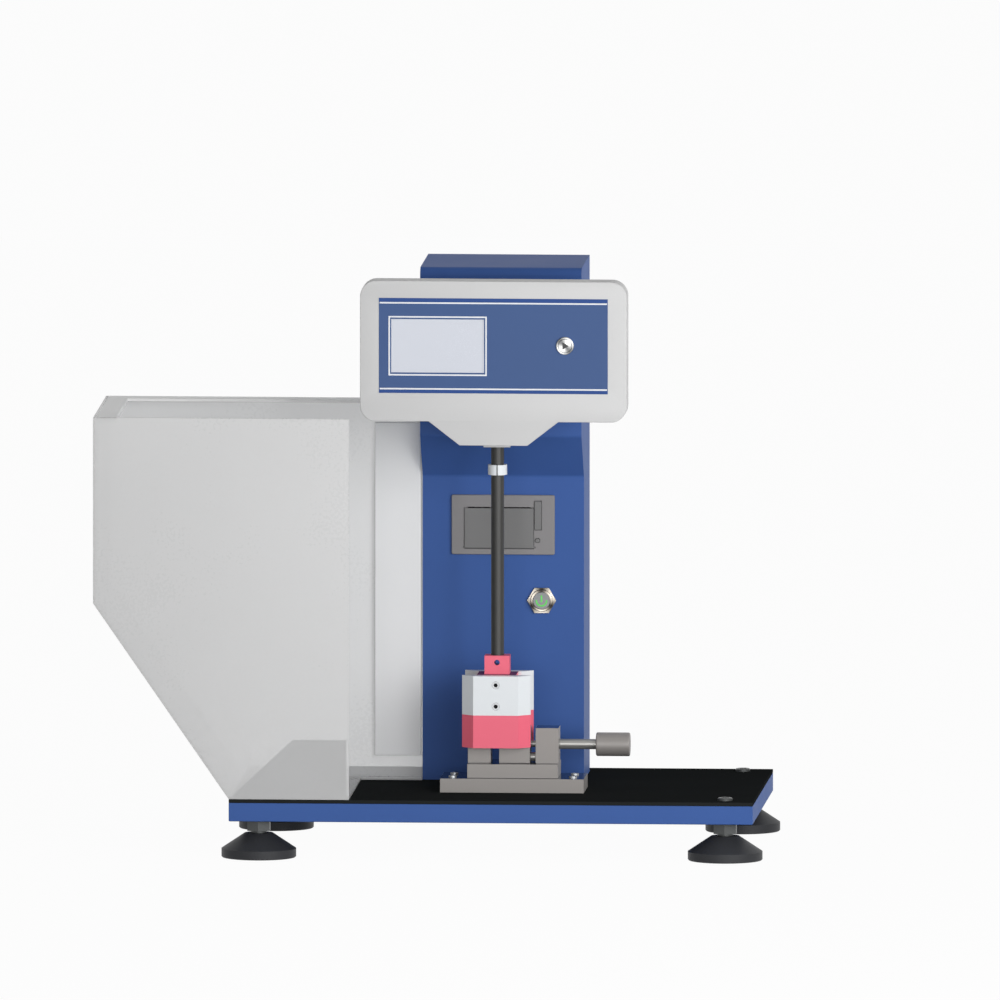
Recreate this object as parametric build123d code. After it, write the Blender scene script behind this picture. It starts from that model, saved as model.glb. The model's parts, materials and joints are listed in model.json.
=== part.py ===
from build123d import *
import math
import os

# Pendulum impact tester, in millimetres.
# The parts are laid out about the base: X to the right of its centre line, Y backwards
# from its middle, Z up from the floor. The last step moves the origin to the middle of
# the outer box, at floor level.

# Base
BASE_WIDTH = 562.0
BASE_DEPTH = 340.0
SLAB_THICKNESS = 20.0
TOP_PLATE_THICKNESS = 4.0
SLAB_CHAMFER = 0.8

# Levelling feet
FOOT_INSET_X = 31.0
FOOT_INSET_Y = 22.5
PAD_DIAMETER = 80.0
PAD_RIM_HEIGHT = 9.5
PAD_HEIGHT = 26.0
PAD_TOP_DIAMETER = 30.5
PAD_SOCKET_DIAMETER = 12.0
PAD_SOCKET_DEPTH = 12.0
PAD_EDGE = 1.0
STUD_DIAMETER = 16.0
STUD_NECK = 2.5
STUD_HEX_FLATS = 24.0
STUD_HEX_HEIGHT = 11.5
STUD_PROUD = 3.0
STUD_KEY_FLATS = 8.0
STUD_KEY_DEPTH = 5.0
STUD_CHAMFER = 1.0

# Vise
VISE_PLATE_LENGTH = 154.0
VISE_PLATE_DEPTH = 66.0
VISE_PLATE_THICKNESS = 15.0
VISE_PLATE_OFFSET = 17.4
VISE_SCREW_INSET = 12.5
VISE_SCREW_SPACING = 30.0
VISE_SCREW_HEAD = 8.5
VISE_SCREW_HEAD_HEIGHT = 5.0
VISE_SCREW_PROUD = 1.5
VISE_SCREW_SHANK = 5.0
VISE_SCREW_KEY = 4.0
VISE_SCREW_KEY_DEPTH = 2.5
SCREW_HEAD_GAP = 0.3
VISE_BLOCK_DEPTH = 53.5
VISE_BLOCK_THICKNESS = 15.0
JAW_DEPTH = 30.0
JAW_HEIGHT = 38.0
FIXED_JAW_LENGTH = 24.6
MOVING_JAW_LENGTH = 33.0
JAW_GAP = 8.9
JAW_OPENING_ROOM = 6.2
PILLAR_LENGTH = 24.6
STRUCK_FACE_X = 2.5
JAW_SCREW_HEIGHT = 19.6
JAW_SCREW_DIAMETER = 11.0
JAW_SCREW_TIP_DIAMETER = 7.0
JAW_SCREW_TIP_DEPTH = 14.0
JAW_SCREW_FREE_LENGTH = 39.6
GUIDE_ROD_DIAMETER = 10.0
GUIDE_ROD_HEIGHT = 5.4
GUIDE_ROD_SEAT = 14.0
GUIDE_ROD_IN_PILLAR = 18.0
KNOB_DIAMETER = 25.4
KNOB_LENGTH = 36.2
KNOB_EDGE = 1.6
KNOB_BORE_DEPTH = 18.1

# Pendulum
PENDULUM_LENGTH = 335.0
STRIKE_ABOVE_JAWS = 22.0
PENDULUM_Y = -54.4
HUB_DIAMETER = 54.0
HUB_LENGTH = 40.0
HUB_ARM_WIDTH = 28.5
HUB_ARM_DEPTH = 24.0
HUB_ARM_REACH = 55.5
ROD_DIAMETER = 14.0
ROD_SEAT = 25.0
COLLAR_RADIUS_FROM_PIVOT = 80.5
COLLAR_DIAMETER = 20.5
COLLAR_HEIGHT = 10.9
COLLAR_SLIT = 1.2

# Hammer
CHEEK_WIDTH = 73.5
CHEEK_FACE_WIDTH = 48.3
CHEEK_THICKNESS = 12.8
CHEEK_CHAMFER_DEPTH = 11.3
CHANNEL_WIDTH = 38.6
HAMMER_HEIGHT = 77.4
CORE_CHEEK_HEIGHT = 35.1
STRIKE_ABOVE_HAMMER_BOTTOM = 42.2
WEB_WIDTH = 42.0
WEB_ROOF = 12.0
LEG_GAP_OVER_JAWS = 3.5
MOUTH_WIDTH = 23.0
NOSE_LENGTH = 4.0
NOSE_HEIGHT = 12.0
NOSE_SEAT = 4.0
NOSE_RADIUS = 0.8
LUG_WIDTH = 26.8
LUG_DEPTH = 20.3
LUG_HEIGHT = 19.8
LUG_HOLE_DIAMETER = 6.0
LUG_HOLE_DROP = 7.3
ROD_IN_LUG = 14.5
HAMMER_SCREW_HEAD = 8.5
HAMMER_SCREW_HEAD_HEIGHT = 4.0
HAMMER_SCREW_SHANK = 5.0
HAMMER_SCREW_KEY = 4.0
HAMMER_SCREW_KEY_DEPTH = 2.0
HAMMER_SCREW_SPACING = 22.9
HAMMER_SCREW_DROP = 9.7
HAMMER_SCREW_IN_CORE = 6.0

# Hub spindle and bearings
SPINDLE_DIAMETER = 20.0
SPINDLE_BORE = 9.0
SPINDLE_SHOULDER_DIAMETER = 26.0
SPINDLE_END_DIAMETER = 16.0
SPINDLE_END_LENGTH = 12.0
SPINDLE_FLANGE_DIAMETER = 56.0
SPINDLE_FLANGE_THICKNESS = 8.0
SPINDLE_BOLT_CIRCLE = 42.0
SPINDLE_SCREW_DIAMETER = 5.0
SPINDLE_SCREW_HEAD = 8.5
SPINDLE_SCREW_HEAD_HEIGHT = 5.0
SPINDLE_SCREW_KEY = 4.0
SPINDLE_SCREW_KEY_DEPTH = 2.5
BEARING_OUTER_DIAMETER = 42.0
BEARING_WIDTH = 12.0
BEARING_INNER_RING = 3.4
BEARING_SEAL_GAP = 0.35
BEARING_INSET = 1.5
BEARING_STOP_DIAMETER = 34.0
LOCK_NUT_DIAMETER = 32.0
LOCK_NUT_THICKNESS = 7.0
CLAMP_NUT_FLATS = 24.0
BACKING_PLATE_WIDTH = 130.0
BACKING_PLATE_HEIGHT = 80.0
BACKING_PLATE_THICKNESS = 10.0

# Angle sensor and release
ANGLE_DISC_DIAMETER = 74.0
ANGLE_DISC_THICKNESS = 1.5
READER_WIDTH = 22.0
READER_HEIGHT = 18.0
READER_OVERLAP = 7.0
READER_SLOT = 5.0
READER_SLOT_ROOM = 2.5
READER_ARM = 4.0
RELEASE_ANGLE = 150.0
PLUNGER_DIAMETER = 8.0
PLUNGER_TAIL = 24.0
PLUNGER_CHAMFER = 1.0
PLUNGER_TRAVEL = 26.0
PLUNGER_GAP = 0.5
PLUNGER_REST_GAP = 6.2
SOLENOID_DIAMETER = 30.0
SOLENOID_LENGTH = 52.0
SOLENOID_TUBE_DIAMETER = 18.0
SOLENOID_TUBE_SETBACK = 1.5

# Cabinet
CABINET_WIDTH = 173.0
COLUMN_FRONT_Y = 41.0
HEAD_FRONT_Y = -1.0
CABINET_BACK_Y = 137.0
HEAD_TOP_ABOVE_PIVOT = 130.5
HEAD_CHIN_BELOW_PIVOT = 50.5
HEAD_CHIN_RISE = 47.0
HEAD_BEND_RADIUS = 8.5
CHIN_BEND_RADIUS = 6.0
SHEET = 2.0
BACK_FLANGE = 14.0
COVER_GAP = 0.6
COVER_SCREW_DIAMETER = 4.0
COVER_SCREW_HEAD = 8.0
COVER_SCREW_HEAD_HEIGHT = 2.6
COVER_SCREW_HEAD_EDGE = 0.9
COVER_SCREW_KEY = 2.0
COVER_SCREW_KEY_DEPTH = 1.3
COVER_SCREW_ROWS = 4
VENT_COUNT = 7
VENT_LENGTH = 60.0
VENT_WIDTH = 3.5
VENT_PITCH = 9.0
VENT_DROP = 60.0

# Display unit
DISPLAY_WIDTH = 286.0
DISPLAY_HEIGHT = 151.0
DISPLAY_CORNER = 17.0
DISPLAY_TOP_ABOVE_PIVOT = 129.2
DISPLAY_FRONT_Y = -125.0
DISPLAY_PLATE_THICKNESS = 6.0
DISPLAY_EDGE_RADIUS = 3.0
DISPLAY_BACK_GAP = 8.0
DISPLAY_WALL = 2.0
SKIRT_TOP_WIDTH = 139.0
SKIRT_BOTTOM_WIDTH = 72.6
SKIRT_DROP = 25.7
WINDOW_WIDTH = 99.7
WINDOW_HEIGHT = 57.5
WINDOW_CENTRE_X = -59.7
WINDOW_CENTRE_ABOVE_PIVOT = 59.5
SCREEN_WIDTH = 105.5
SCREEN_HEIGHT = 67.2
SCREEN_DEPTH = 7.0
BOARD_WIDTH = 190.0
BOARD_HEIGHT = 90.0
BOARD_THICKNESS = 1.6
BOARD_GAP = 2.0
SCREEN_RECESS = 0.4

# Push buttons
IMPACT_BUTTON_X = 76.9
IMPACT_BUTTON_ABOVE_PIVOT = 60.6
IMPACT_RING_DIAMETER = 19.0
IMPACT_CAP_DIAMETER = 14.4
IMPACT_THREAD_DIAMETER = 16.0
IMPACT_STEM_DIAMETER = 7.2
IMPACT_BODY_LENGTH = 15.0
POWER_BUTTON_X = 41.3
POWER_BUTTON_ABOVE_BASE = 193.7
POWER_NUT_FLATS = 27.0
POWER_NUT_THICKNESS = 3.0
POWER_RING_DIAMETER = 24.0
POWER_CAP_DIAMETER = 18.2
POWER_THREAD_DIAMETER = 21.0
POWER_STEM_DIAMETER = 9.1
POWER_BODY_LENGTH = 28.0
BUTTON_RING_THICKNESS = 2.5
BUTTON_RING_CHAMFER = 0.6
BUTTON_CAP_THICKNESS = 1.25
BUTTON_FLOOR = 2.0
BUTTON_TRAVEL = 2.0
BUTTON_GAP = 0.3

# Printer
PRINTER_WIDTH = 110.6
PRINTER_HEIGHT = 64.2
PRINTER_CENTRE_ABOVE_BASE = 275.0
PRINTER_BEZEL_THICKNESS = 3.0
PRINTER_BEZEL_CORNER = 2.0
PRINTER_BEZEL_CHAMFER = 0.6
PRINTER_BODY_WIDTH = 102.0
PRINTER_BODY_HEIGHT = 57.0
PRINTER_BODY_DEPTH = 57.0
PRINTER_WALL = 2.5
PRINTER_FRONT_WALL = 5.0
PRINTER_FACE_WIDTH = 82.4
PRINTER_FACE_HEIGHT = 51.4
PRINTER_DOOR_WIDTH = 74.0
PRINTER_DOOR_HEIGHT = 43.6
PRINTER_DOOR_THICKNESS = 3.0
PRINTER_DOOR_PROUD = 1.6
PRINTER_DOOR_GAP = 0.4
PRINTER_SLOT = 1.2
PRINTER_LATCH_HEIGHT = 31.0
PRINTER_KEY_THICKNESS = 3.0
PRINTER_KEY_TRAVEL = 1.2
PRINTER_FEED_DIAMETER = 5.0
PRINTER_FEED_DROP = 16.6
PRINTER_SIDE_WALL = 3.2
PRINTER_HINGE_DIAMETER = 1.6
PLATEN_DIAMETER = 8.0
PLATEN_LENGTH = 58.0
PLATEN_AXLE_DIAMETER = 3.0
PLATEN_ARM = 2.5
PLATEN_DROP = 5.4
PLATEN_BEHIND_DOOR = 6.6
PAPER_WIDTH = 57.0
PAPER_ROLL_DIAMETER = 38.0
PAPER_CORE_DIAMETER = 12.0
PAPER_ROLL_GAP = 2.5

# Power supply and mains inlet
SUPPLY_WIDTH = 99.0
SUPPLY_DEPTH = 60.0
SUPPLY_HEIGHT = 159.0
INLET_WIDTH = 27.0
INLET_HEIGHT = 48.0
INLET_FLANGE = 3.0
INLET_DEPTH = 22.0
INLET_ABOVE_BASE = 60.0
INLET_WALL = 1.0
INLET_CORNER = 3.0
SOCKET_WIDTH = 24.0
SOCKET_HEIGHT = 16.5
SOCKET_DEPTH = 17.0
SOCKET_CORNER = 3.0
SOCKET_PIN_LENGTH = 12.0
SOCKET_PIN_WIDTH = 4.0
SOCKET_PIN_THICKNESS = 2.0
SOCKET_PIN_SPACING = 7.0
SUPPLY_FROM_FRONT = 5.0

# Guard
GUARD_SHEET = 3.0
GUARD_HEIGHT = 409.8
GUARD_SLOPE_HEIGHT = 209.7
GUARD_FLOOR_LENGTH = 129.0
GUARD_DEPTH = 219.4
GUARD_RIM = 22.0
GUARD_SWING_ROOM = 25.4
GUARD_STUD_ROOM = 1.5
GUSSET_HEIGHT = 61.0
GUSSET_TOP_LENGTH = 57.6
GUSSET_INSET = 3.0
BAR_WIDTH = 49.0
BAR_THICKNESS = 6.0
BAR_FROM_COLUMN = 1.8
BAR_FOOT_GAP = 26.0
BAR_TOP_GAP = 26.0
GUARD_FOOT_DEPTH = 13.0

# Fits
RUNNING_CLEARANCE = 0.06
SLIDING_CLEARANCE = 0.15
THREAD_CLEARANCE = 0.08
BODY_CLEARANCE = 0.4

# Spacing of the feet
FOOT_SPACING_X = BASE_WIDTH - 2 * FOOT_INSET_X
FOOT_SPACING_Y = BASE_DEPTH - 2 * FOOT_INSET_Y

# Heights that follow from the sizes above
SLAB_BOTTOM = PAD_HEIGHT + STUD_NECK + STUD_HEX_HEIGHT
BASE_TOP = SLAB_BOTTOM + SLAB_THICKNESS + TOP_PLATE_THICKNESS
VISE_PLATE_TOP = BASE_TOP + VISE_PLATE_THICKNESS
VISE_BLOCK_TOP = VISE_PLATE_TOP + VISE_BLOCK_THICKNESS
JAW_TOP = VISE_BLOCK_TOP + JAW_HEIGHT
STRIKE_Z = JAW_TOP + STRIKE_ABOVE_JAWS
PIVOT_Z = STRIKE_Z + PENDULUM_LENGTH
HAMMER_BOTTOM = STRIKE_Z - STRIKE_ABOVE_HAMMER_BOTTOM
HAMMER_TOP = HAMMER_BOTTOM + HAMMER_HEIGHT
CORE_CHEEK_TOP = HAMMER_BOTTOM + CORE_CHEEK_HEIGHT
LUG_TOP = HAMMER_TOP + LUG_HEIGHT
HEAD_TOP = PIVOT_Z + HEAD_TOP_ABOVE_PIVOT
DISPLAY_TOP = PIVOT_Z + DISPLAY_TOP_ABOVE_PIVOT
DISPLAY_BOTTOM = DISPLAY_TOP - DISPLAY_HEIGHT

# Places across the vise
FIXED_JAW_FACE = STRUCK_FACE_X - JAW_GAP
MOVING_JAW_BACK = STRUCK_FACE_X + MOVING_JAW_LENGTH
PILLAR_FRONT = MOVING_JAW_BACK + JAW_OPENING_ROOM
PILLAR_BACK = PILLAR_FRONT + PILLAR_LENGTH
JAW_SCREW_Z = VISE_BLOCK_TOP + JAW_SCREW_HEIGHT

# Places along the spindle
HUB_BACK_Y = PENDULUM_Y + HUB_LENGTH / 2
HUB_FRONT_Y = PENDULUM_Y - HUB_LENGTH / 2
REAR_BEARING_Y = HUB_BACK_Y - BEARING_INSET
FRONT_BEARING_Y = HUB_FRONT_Y + BEARING_INSET
CHEEK_FRONT_Y = PENDULUM_Y - CHANNEL_WIDTH / 2 - CHEEK_THICKNESS
CHEEK_BACK_Y = PENDULUM_Y + CHANNEL_WIDTH / 2
DISPLAY_BACK_Y = CHEEK_FRONT_Y - DISPLAY_BACK_GAP

# Reach of the guard, from the hammer's swing
HAMMER_REACH = math.hypot(PIVOT_Z - HAMMER_BOTTOM, CHEEK_WIDTH / 2)
GUARD_LEFT = -(HAMMER_REACH + GUARD_RIM + GUARD_SWING_ROOM)
GUARD_FRONT_Y = -BASE_DEPTH / 2
GUARD_BACK_Y = GUARD_FRONT_Y + GUARD_DEPTH
GUARD_TOP = BASE_TOP + GUARD_HEIGHT
GUARD_SLOPE_TOP = BASE_TOP + GUARD_SLOPE_HEIGHT
GUARD_RIGHT = -BASE_WIDTH / 2 + GUARD_FLOOR_LENGTH

# Outer box, for the origin
FEET_REACH = FOOT_SPACING_X / 2 + PAD_DIAMETER / 2
CENTRE_X = (max(FEET_REACH, BASE_WIDTH / 2) + GUARD_LEFT) / 2


def block(x0, x1, y0, y1, z0, z1):
    centre = Pos((x0 + x1) / 2, (y0 + y1) / 2, (z0 + z1) / 2)
    return centre * Box(x1 - x0, y1 - y0, z1 - z0)


def bar_x(x0, x1, y, z, radius):
    return Pos((x0 + x1) / 2, y, z) * Rot(0, 90, 0) * Cylinder(radius, x1 - x0)


def bar_y(y0, y1, x, z, radius):
    return Pos(x, (y0 + y1) / 2, z) * Rot(90, 0, 0) * Cylinder(radius, y1 - y0)


def bar_z(z0, z1, x, y, radius):
    return Pos(x, y, (z0 + z1) / 2) * Cylinder(radius, z1 - z0)


def tube_y(y0, y1, x, z, outer, inner):
    return bar_y(y0, y1, x, z, outer) - bar_y(y0, y1, x, z, inner)


def plate_y(sketch, y0, y1):
    """Extrudes a sketch drawn in X and Z from y0 back to y1."""
    return Pos(0, y0, 0) * extrude(Plane.XZ * sketch, amount=y1 - y0, dir=(0, 1, 0))


def plate_x(sketch, x0, x1):
    """Extrudes a sketch drawn in Y and Z from x0 across to x1."""
    return Pos(x0, 0, 0) * extrude(Plane.YZ * sketch, amount=x1 - x0, dir=(1, 0, 0))


def outline(*points):
    return Polygon(*points, align=None)


def hexagon_y(y0, y1, x, z, flats):
    return plate_y(Pos(x, z) * RegularPolygon(flats / 2, 6, major_radius=False), y0, y1)


def foot_places():
    """The four feet, by name."""
    half_x = FOOT_SPACING_X / 2
    half_y = FOOT_SPACING_Y / 2
    return {
        "front_left": (-half_x, -half_y),
        "front_right": (half_x, -half_y),
        "back_left": (-half_x, half_y),
        "back_right": (half_x, half_y),
    }


def base():
    """The slab and its top plate, drilled for the four studs."""
    half_x = BASE_WIDTH / 2
    half_y = BASE_DEPTH / 2
    plate_bottom = SLAB_BOTTOM + SLAB_THICKNESS
    slab = block(-half_x, half_x, -half_y, half_y, SLAB_BOTTOM, plate_bottom)
    slab = chamfer(slab.edges().group_by(Axis.Z)[0], SLAB_CHAMFER)
    top_plate = block(-half_x, half_x, -half_y, half_y, plate_bottom, BASE_TOP)
    for x, y in foot_places().values():
        hole = bar_z(SLAB_BOTTOM, BASE_TOP, x, y, STUD_DIAMETER / 2 + THREAD_CLEARANCE)
        slab -= hole
        top_plate -= hole
    return {"base_slab": slab, "base_top_plate": top_plate}


def foot_pad(x, y):
    """A conical pad with a socket for the stud's end."""
    rim = PAD_DIAMETER / 2
    top = PAD_TOP_DIAMETER / 2
    profile = outline(
        (0, 0), (rim - PAD_EDGE, 0), (rim, PAD_EDGE), (rim, PAD_RIM_HEIGHT),
        (top, PAD_HEIGHT), (0, PAD_HEIGHT),
    )
    pad = revolve(Plane.XZ * profile, axis=Axis.Z)
    socket_radius = PAD_SOCKET_DIAMETER / 2 + RUNNING_CLEARANCE
    pad -= bar_z(PAD_HEIGHT - PAD_SOCKET_DEPTH, PAD_HEIGHT, 0, 0, socket_radius)
    return Pos(x, y, 0) * pad


def foot_stud(x, y):
    """A threaded stud with a hexagon under the base and a key socket in its top."""
    end = PAD_HEIGHT - PAD_SOCKET_DEPTH + SLIDING_CLEARANCE
    shoulder = PAD_HEIGHT + SLIDING_CLEARANCE
    top = BASE_TOP + STUD_PROUD
    stud = bar_z(end, shoulder, 0, 0, PAD_SOCKET_DIAMETER / 2)
    shank = bar_z(shoulder, top, 0, 0, STUD_DIAMETER / 2)
    stud += chamfer(shank.edges().group_by(Axis.Z)[-1], STUD_CHAMFER)
    hexagon = RegularPolygon(STUD_HEX_FLATS / 2, 6, major_radius=False, rotation=30)
    stud += Pos(0, 0, SLAB_BOTTOM - STUD_HEX_HEIGHT) * extrude(hexagon, amount=STUD_HEX_HEIGHT)
    key = RegularPolygon(STUD_KEY_FLATS / 2, 6, major_radius=False)
    stud -= Pos(0, 0, top - STUD_KEY_DEPTH) * extrude(key, amount=STUD_KEY_DEPTH)
    return Pos(x, y, 0) * stud


def feet():
    parts = {}
    for name, (x, y) in foot_places().items():
        parts["foot_pad_" + name] = foot_pad(x, y)
        parts["foot_stud_" + name] = foot_stud(x, y)
    return parts


def vise_screw(x, y, seat):
    """A socket screw pointing down to the base, its head standing on the seat."""
    screw = bar_z(seat, seat + VISE_SCREW_HEAD_HEIGHT, x, y, VISE_SCREW_HEAD / 2)
    screw += bar_z(BASE_TOP, seat, x, y, VISE_SCREW_SHANK / 2)
    key = RegularPolygon(VISE_SCREW_KEY / 2, 6, major_radius=False)
    key_floor = seat + VISE_SCREW_HEAD_HEIGHT - VISE_SCREW_KEY_DEPTH
    return screw - Pos(x, y, key_floor) * extrude(key, amount=VISE_SCREW_KEY_DEPTH)


def vise():
    """The fixed pieces of the vise: plate, screws, block, fixed jaw and pillar."""
    half_plate = VISE_PLATE_LENGTH / 2
    half_depth = VISE_PLATE_DEPTH / 2
    plate = block(
        VISE_PLATE_OFFSET - half_plate, VISE_PLATE_OFFSET + half_plate,
        PENDULUM_Y - half_depth, PENDULUM_Y + half_depth, BASE_TOP, VISE_PLATE_TOP,
    )
    seat = VISE_PLATE_TOP - VISE_SCREW_HEAD_HEIGHT + VISE_SCREW_PROUD
    screws = []
    for side in (-1, 1):
        for row in (-1, 1):
            x = VISE_PLATE_OFFSET + side * (half_plate - VISE_SCREW_INSET)
            y = PENDULUM_Y + row * VISE_SCREW_SPACING / 2
            plate -= bar_z(seat, VISE_PLATE_TOP, x, y, VISE_SCREW_HEAD / 2 + SCREW_HEAD_GAP)
            plate -= bar_z(BASE_TOP, seat, x, y, VISE_SCREW_SHANK / 2)
            screws.append(vise_screw(x, y, seat))
    block_half = VISE_BLOCK_DEPTH / 2
    body = block(
        FIXED_JAW_FACE - FIXED_JAW_LENGTH, PILLAR_BACK,
        PENDULUM_Y - block_half, PENDULUM_Y + block_half, VISE_PLATE_TOP, VISE_BLOCK_TOP,
    )
    jaw_half = JAW_DEPTH / 2
    fixed_jaw = block(
        FIXED_JAW_FACE - FIXED_JAW_LENGTH, FIXED_JAW_FACE,
        PENDULUM_Y - jaw_half, PENDULUM_Y + jaw_half, VISE_BLOCK_TOP, JAW_TOP,
    )
    pillar = block(
        PILLAR_FRONT, PILLAR_BACK,
        PENDULUM_Y - jaw_half, PENDULUM_Y + jaw_half, VISE_BLOCK_TOP, JAW_TOP,
    )
    thread = JAW_SCREW_DIAMETER / 2 + THREAD_CLEARANCE
    pillar -= bar_x(PILLAR_FRONT, PILLAR_BACK, PENDULUM_Y, JAW_SCREW_Z, thread)
    guide = GUIDE_ROD_DIAMETER / 2 + RUNNING_CLEARANCE
    guide_z = VISE_BLOCK_TOP + GUIDE_ROD_HEIGHT
    pillar -= bar_x(PILLAR_FRONT, PILLAR_BACK, PENDULUM_Y, guide_z, guide)
    return {
        "vise_plate": plate,
        "vise_plate_screws": Compound(screws),
        "vise_block": body,
        "fixed_jaw": fixed_jaw,
        "screw_pillar": pillar,
    }


def moving_jaw():
    """The moving jaw, bored for the screw's tip and for the guide rod."""
    jaw_half = JAW_DEPTH / 2
    jaw = block(
        STRUCK_FACE_X, MOVING_JAW_BACK, PENDULUM_Y - jaw_half, PENDULUM_Y + jaw_half,
        VISE_BLOCK_TOP + SLIDING_CLEARANCE, JAW_TOP,
    )
    tip = JAW_SCREW_TIP_DIAMETER / 2 + RUNNING_CLEARANCE
    tip_end = MOVING_JAW_BACK - JAW_SCREW_TIP_DEPTH - SLIDING_CLEARANCE
    jaw -= bar_x(tip_end, MOVING_JAW_BACK, PENDULUM_Y, JAW_SCREW_Z, tip)
    guide_z = VISE_BLOCK_TOP + GUIDE_ROD_HEIGHT
    seat = MOVING_JAW_BACK - GUIDE_ROD_SEAT
    rod_radius = GUIDE_ROD_DIAMETER / 2
    jaw -= bar_x(seat, MOVING_JAW_BACK, PENDULUM_Y, guide_z, rod_radius)
    rod = bar_x(seat, PILLAR_FRONT + GUIDE_ROD_IN_PILLAR, PENDULUM_Y, guide_z, rod_radius)
    return {"moving_jaw": jaw, "jaw_guide_rod": rod}


def clamp_screw():
    """The clamping screw with its thin tip in the jaw, and the knob."""
    tip_end = MOVING_JAW_BACK - JAW_SCREW_TIP_DEPTH
    knob_start = PILLAR_BACK + JAW_SCREW_FREE_LENGTH
    knob_end = knob_start + KNOB_LENGTH
    y = PENDULUM_Y
    screw = bar_x(tip_end, PILLAR_FRONT, y, JAW_SCREW_Z, JAW_SCREW_TIP_DIAMETER / 2)
    shank_end = knob_start + KNOB_BORE_DEPTH
    screw += bar_x(PILLAR_FRONT, shank_end, y, JAW_SCREW_Z, JAW_SCREW_DIAMETER / 2)
    knob = bar_x(knob_start, knob_end, y, JAW_SCREW_Z, KNOB_DIAMETER / 2)
    knob = fillet(knob.edges(), KNOB_EDGE)
    knob -= bar_x(knob_start, shank_end, y, JAW_SCREW_Z, JAW_SCREW_DIAMETER / 2)
    return {"clamp_screw": screw, "clamp_knob": knob}


def pendulum_hub():
    """The hub, bored for two bearings, with its arm clamping the rod."""
    hub = bar_y(HUB_FRONT_Y, HUB_BACK_Y, 0, PIVOT_Z, HUB_DIAMETER / 2)
    hub += block(
        -HUB_ARM_WIDTH / 2, HUB_ARM_WIDTH / 2,
        PENDULUM_Y - HUB_ARM_DEPTH / 2, PENDULUM_Y + HUB_ARM_DEPTH / 2,
        PIVOT_Z - HUB_ARM_REACH, PIVOT_Z,
    )
    seat = BEARING_OUTER_DIAMETER / 2
    rear_end = REAR_BEARING_Y - BEARING_WIDTH
    front_end = FRONT_BEARING_Y + BEARING_WIDTH
    hub -= bar_y(rear_end, HUB_BACK_Y, 0, PIVOT_Z, seat)
    hub -= bar_y(HUB_FRONT_Y, front_end, 0, PIVOT_Z, seat)
    hub -= bar_y(front_end, rear_end, 0, PIVOT_Z, BEARING_STOP_DIAMETER / 2)
    rod_bottom = PIVOT_Z - HUB_ARM_REACH
    hub -= bar_z(rod_bottom, rod_bottom + ROD_SEAT, 0, PENDULUM_Y, ROD_DIAMETER / 2)
    return hub


def bearing_rings():
    """Inner and outer rings of the two sealed bearings."""
    inner = SPINDLE_DIAMETER / 2
    track = inner + BEARING_INNER_RING
    seal = track + BEARING_SEAL_GAP
    outer = BEARING_OUTER_DIAMETER / 2
    spans = (
        (REAR_BEARING_Y - BEARING_WIDTH, REAR_BEARING_Y),
        (FRONT_BEARING_Y, FRONT_BEARING_Y + BEARING_WIDTH),
    )
    inner_rings = [tube_y(y0, y1, 0, PIVOT_Z, track, inner) for y0, y1 in spans]
    outer_rings = [tube_y(y0, y1, 0, PIVOT_Z, outer, seal) for y0, y1 in spans]
    return Compound(inner_rings), Compound(outer_rings)


def cheek_outline():
    """One hammer cheek from above, its chamfers facing forward."""
    face = CHEEK_FACE_WIDTH / 2
    side = CHEEK_WIDTH / 2
    return outline(
        (-face, 0), (face, 0), (side, CHEEK_CHAMFER_DEPTH), (side, CHEEK_THICKNESS),
        (-side, CHEEK_THICKNESS), (-side, CHEEK_CHAMFER_DEPTH),
    )


def cheek(y, z0, z1):
    return Pos(0, y, z0) * extrude(cheek_outline(), amount=z1 - z0, dir=(0, 0, 1))


def sunk_screw_y(x, z, face, direction):
    """A hammer screw and its hole; direction is the way the shank points along Y."""
    head_back = face + direction * HAMMER_SCREW_HEAD_HEIGHT
    tip = face + direction * (CHEEK_THICKNESS + HAMMER_SCREW_IN_CORE)
    key_end = face + direction * HAMMER_SCREW_KEY_DEPTH
    head = sorted((face, head_back))
    shank = sorted((head_back, tip))
    key = sorted((face, key_end))
    screw = bar_y(*head, x, z, HAMMER_SCREW_HEAD / 2)
    screw += bar_y(*shank, x, z, HAMMER_SCREW_SHANK / 2)
    screw -= hexagon_y(*key, x, z, HAMMER_SCREW_KEY)
    hole = bar_y(*head, x, z, HAMMER_SCREW_HEAD / 2 + THREAD_CLEARANCE)
    hole += bar_y(*shank, x, z, HAMMER_SCREW_SHANK / 2)
    return screw, hole


def hammer_core():
    """Lug, web with the mouth that passes the specimen, and the two lower cheeks."""
    web_half = WEB_WIDTH / 2
    channel_front = PENDULUM_Y - CHANNEL_WIDTH / 2
    channel_back = PENDULUM_Y + CHANNEL_WIDTH / 2
    web_bottom = JAW_TOP + LEG_GAP_OVER_JAWS
    leg_face = STRUCK_FACE_X + NOSE_LENGTH
    core = block(-web_half, web_half, channel_front, channel_back, web_bottom, HAMMER_TOP)
    core -= block(
        -web_half, leg_face, PENDULUM_Y - MOUTH_WIDTH / 2, PENDULUM_Y + MOUTH_WIDTH / 2,
        web_bottom, HAMMER_TOP - WEB_ROOF,
    )
    core += cheek(CHEEK_FRONT_Y, HAMMER_BOTTOM, CORE_CHEEK_TOP)
    core += cheek(CHEEK_BACK_Y, HAMMER_BOTTOM, CORE_CHEEK_TOP)
    lug_front = PENDULUM_Y - LUG_DEPTH / 2
    lug_back = PENDULUM_Y + LUG_DEPTH / 2
    core += block(-LUG_WIDTH / 2, LUG_WIDTH / 2, lug_front, lug_back, HAMMER_TOP, LUG_TOP)
    core -= bar_z(LUG_TOP - ROD_IN_LUG, LUG_TOP, 0, PENDULUM_Y, ROD_DIAMETER / 2)
    return core - lug_hole(lug_front, lug_back) - striker_seat()


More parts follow.
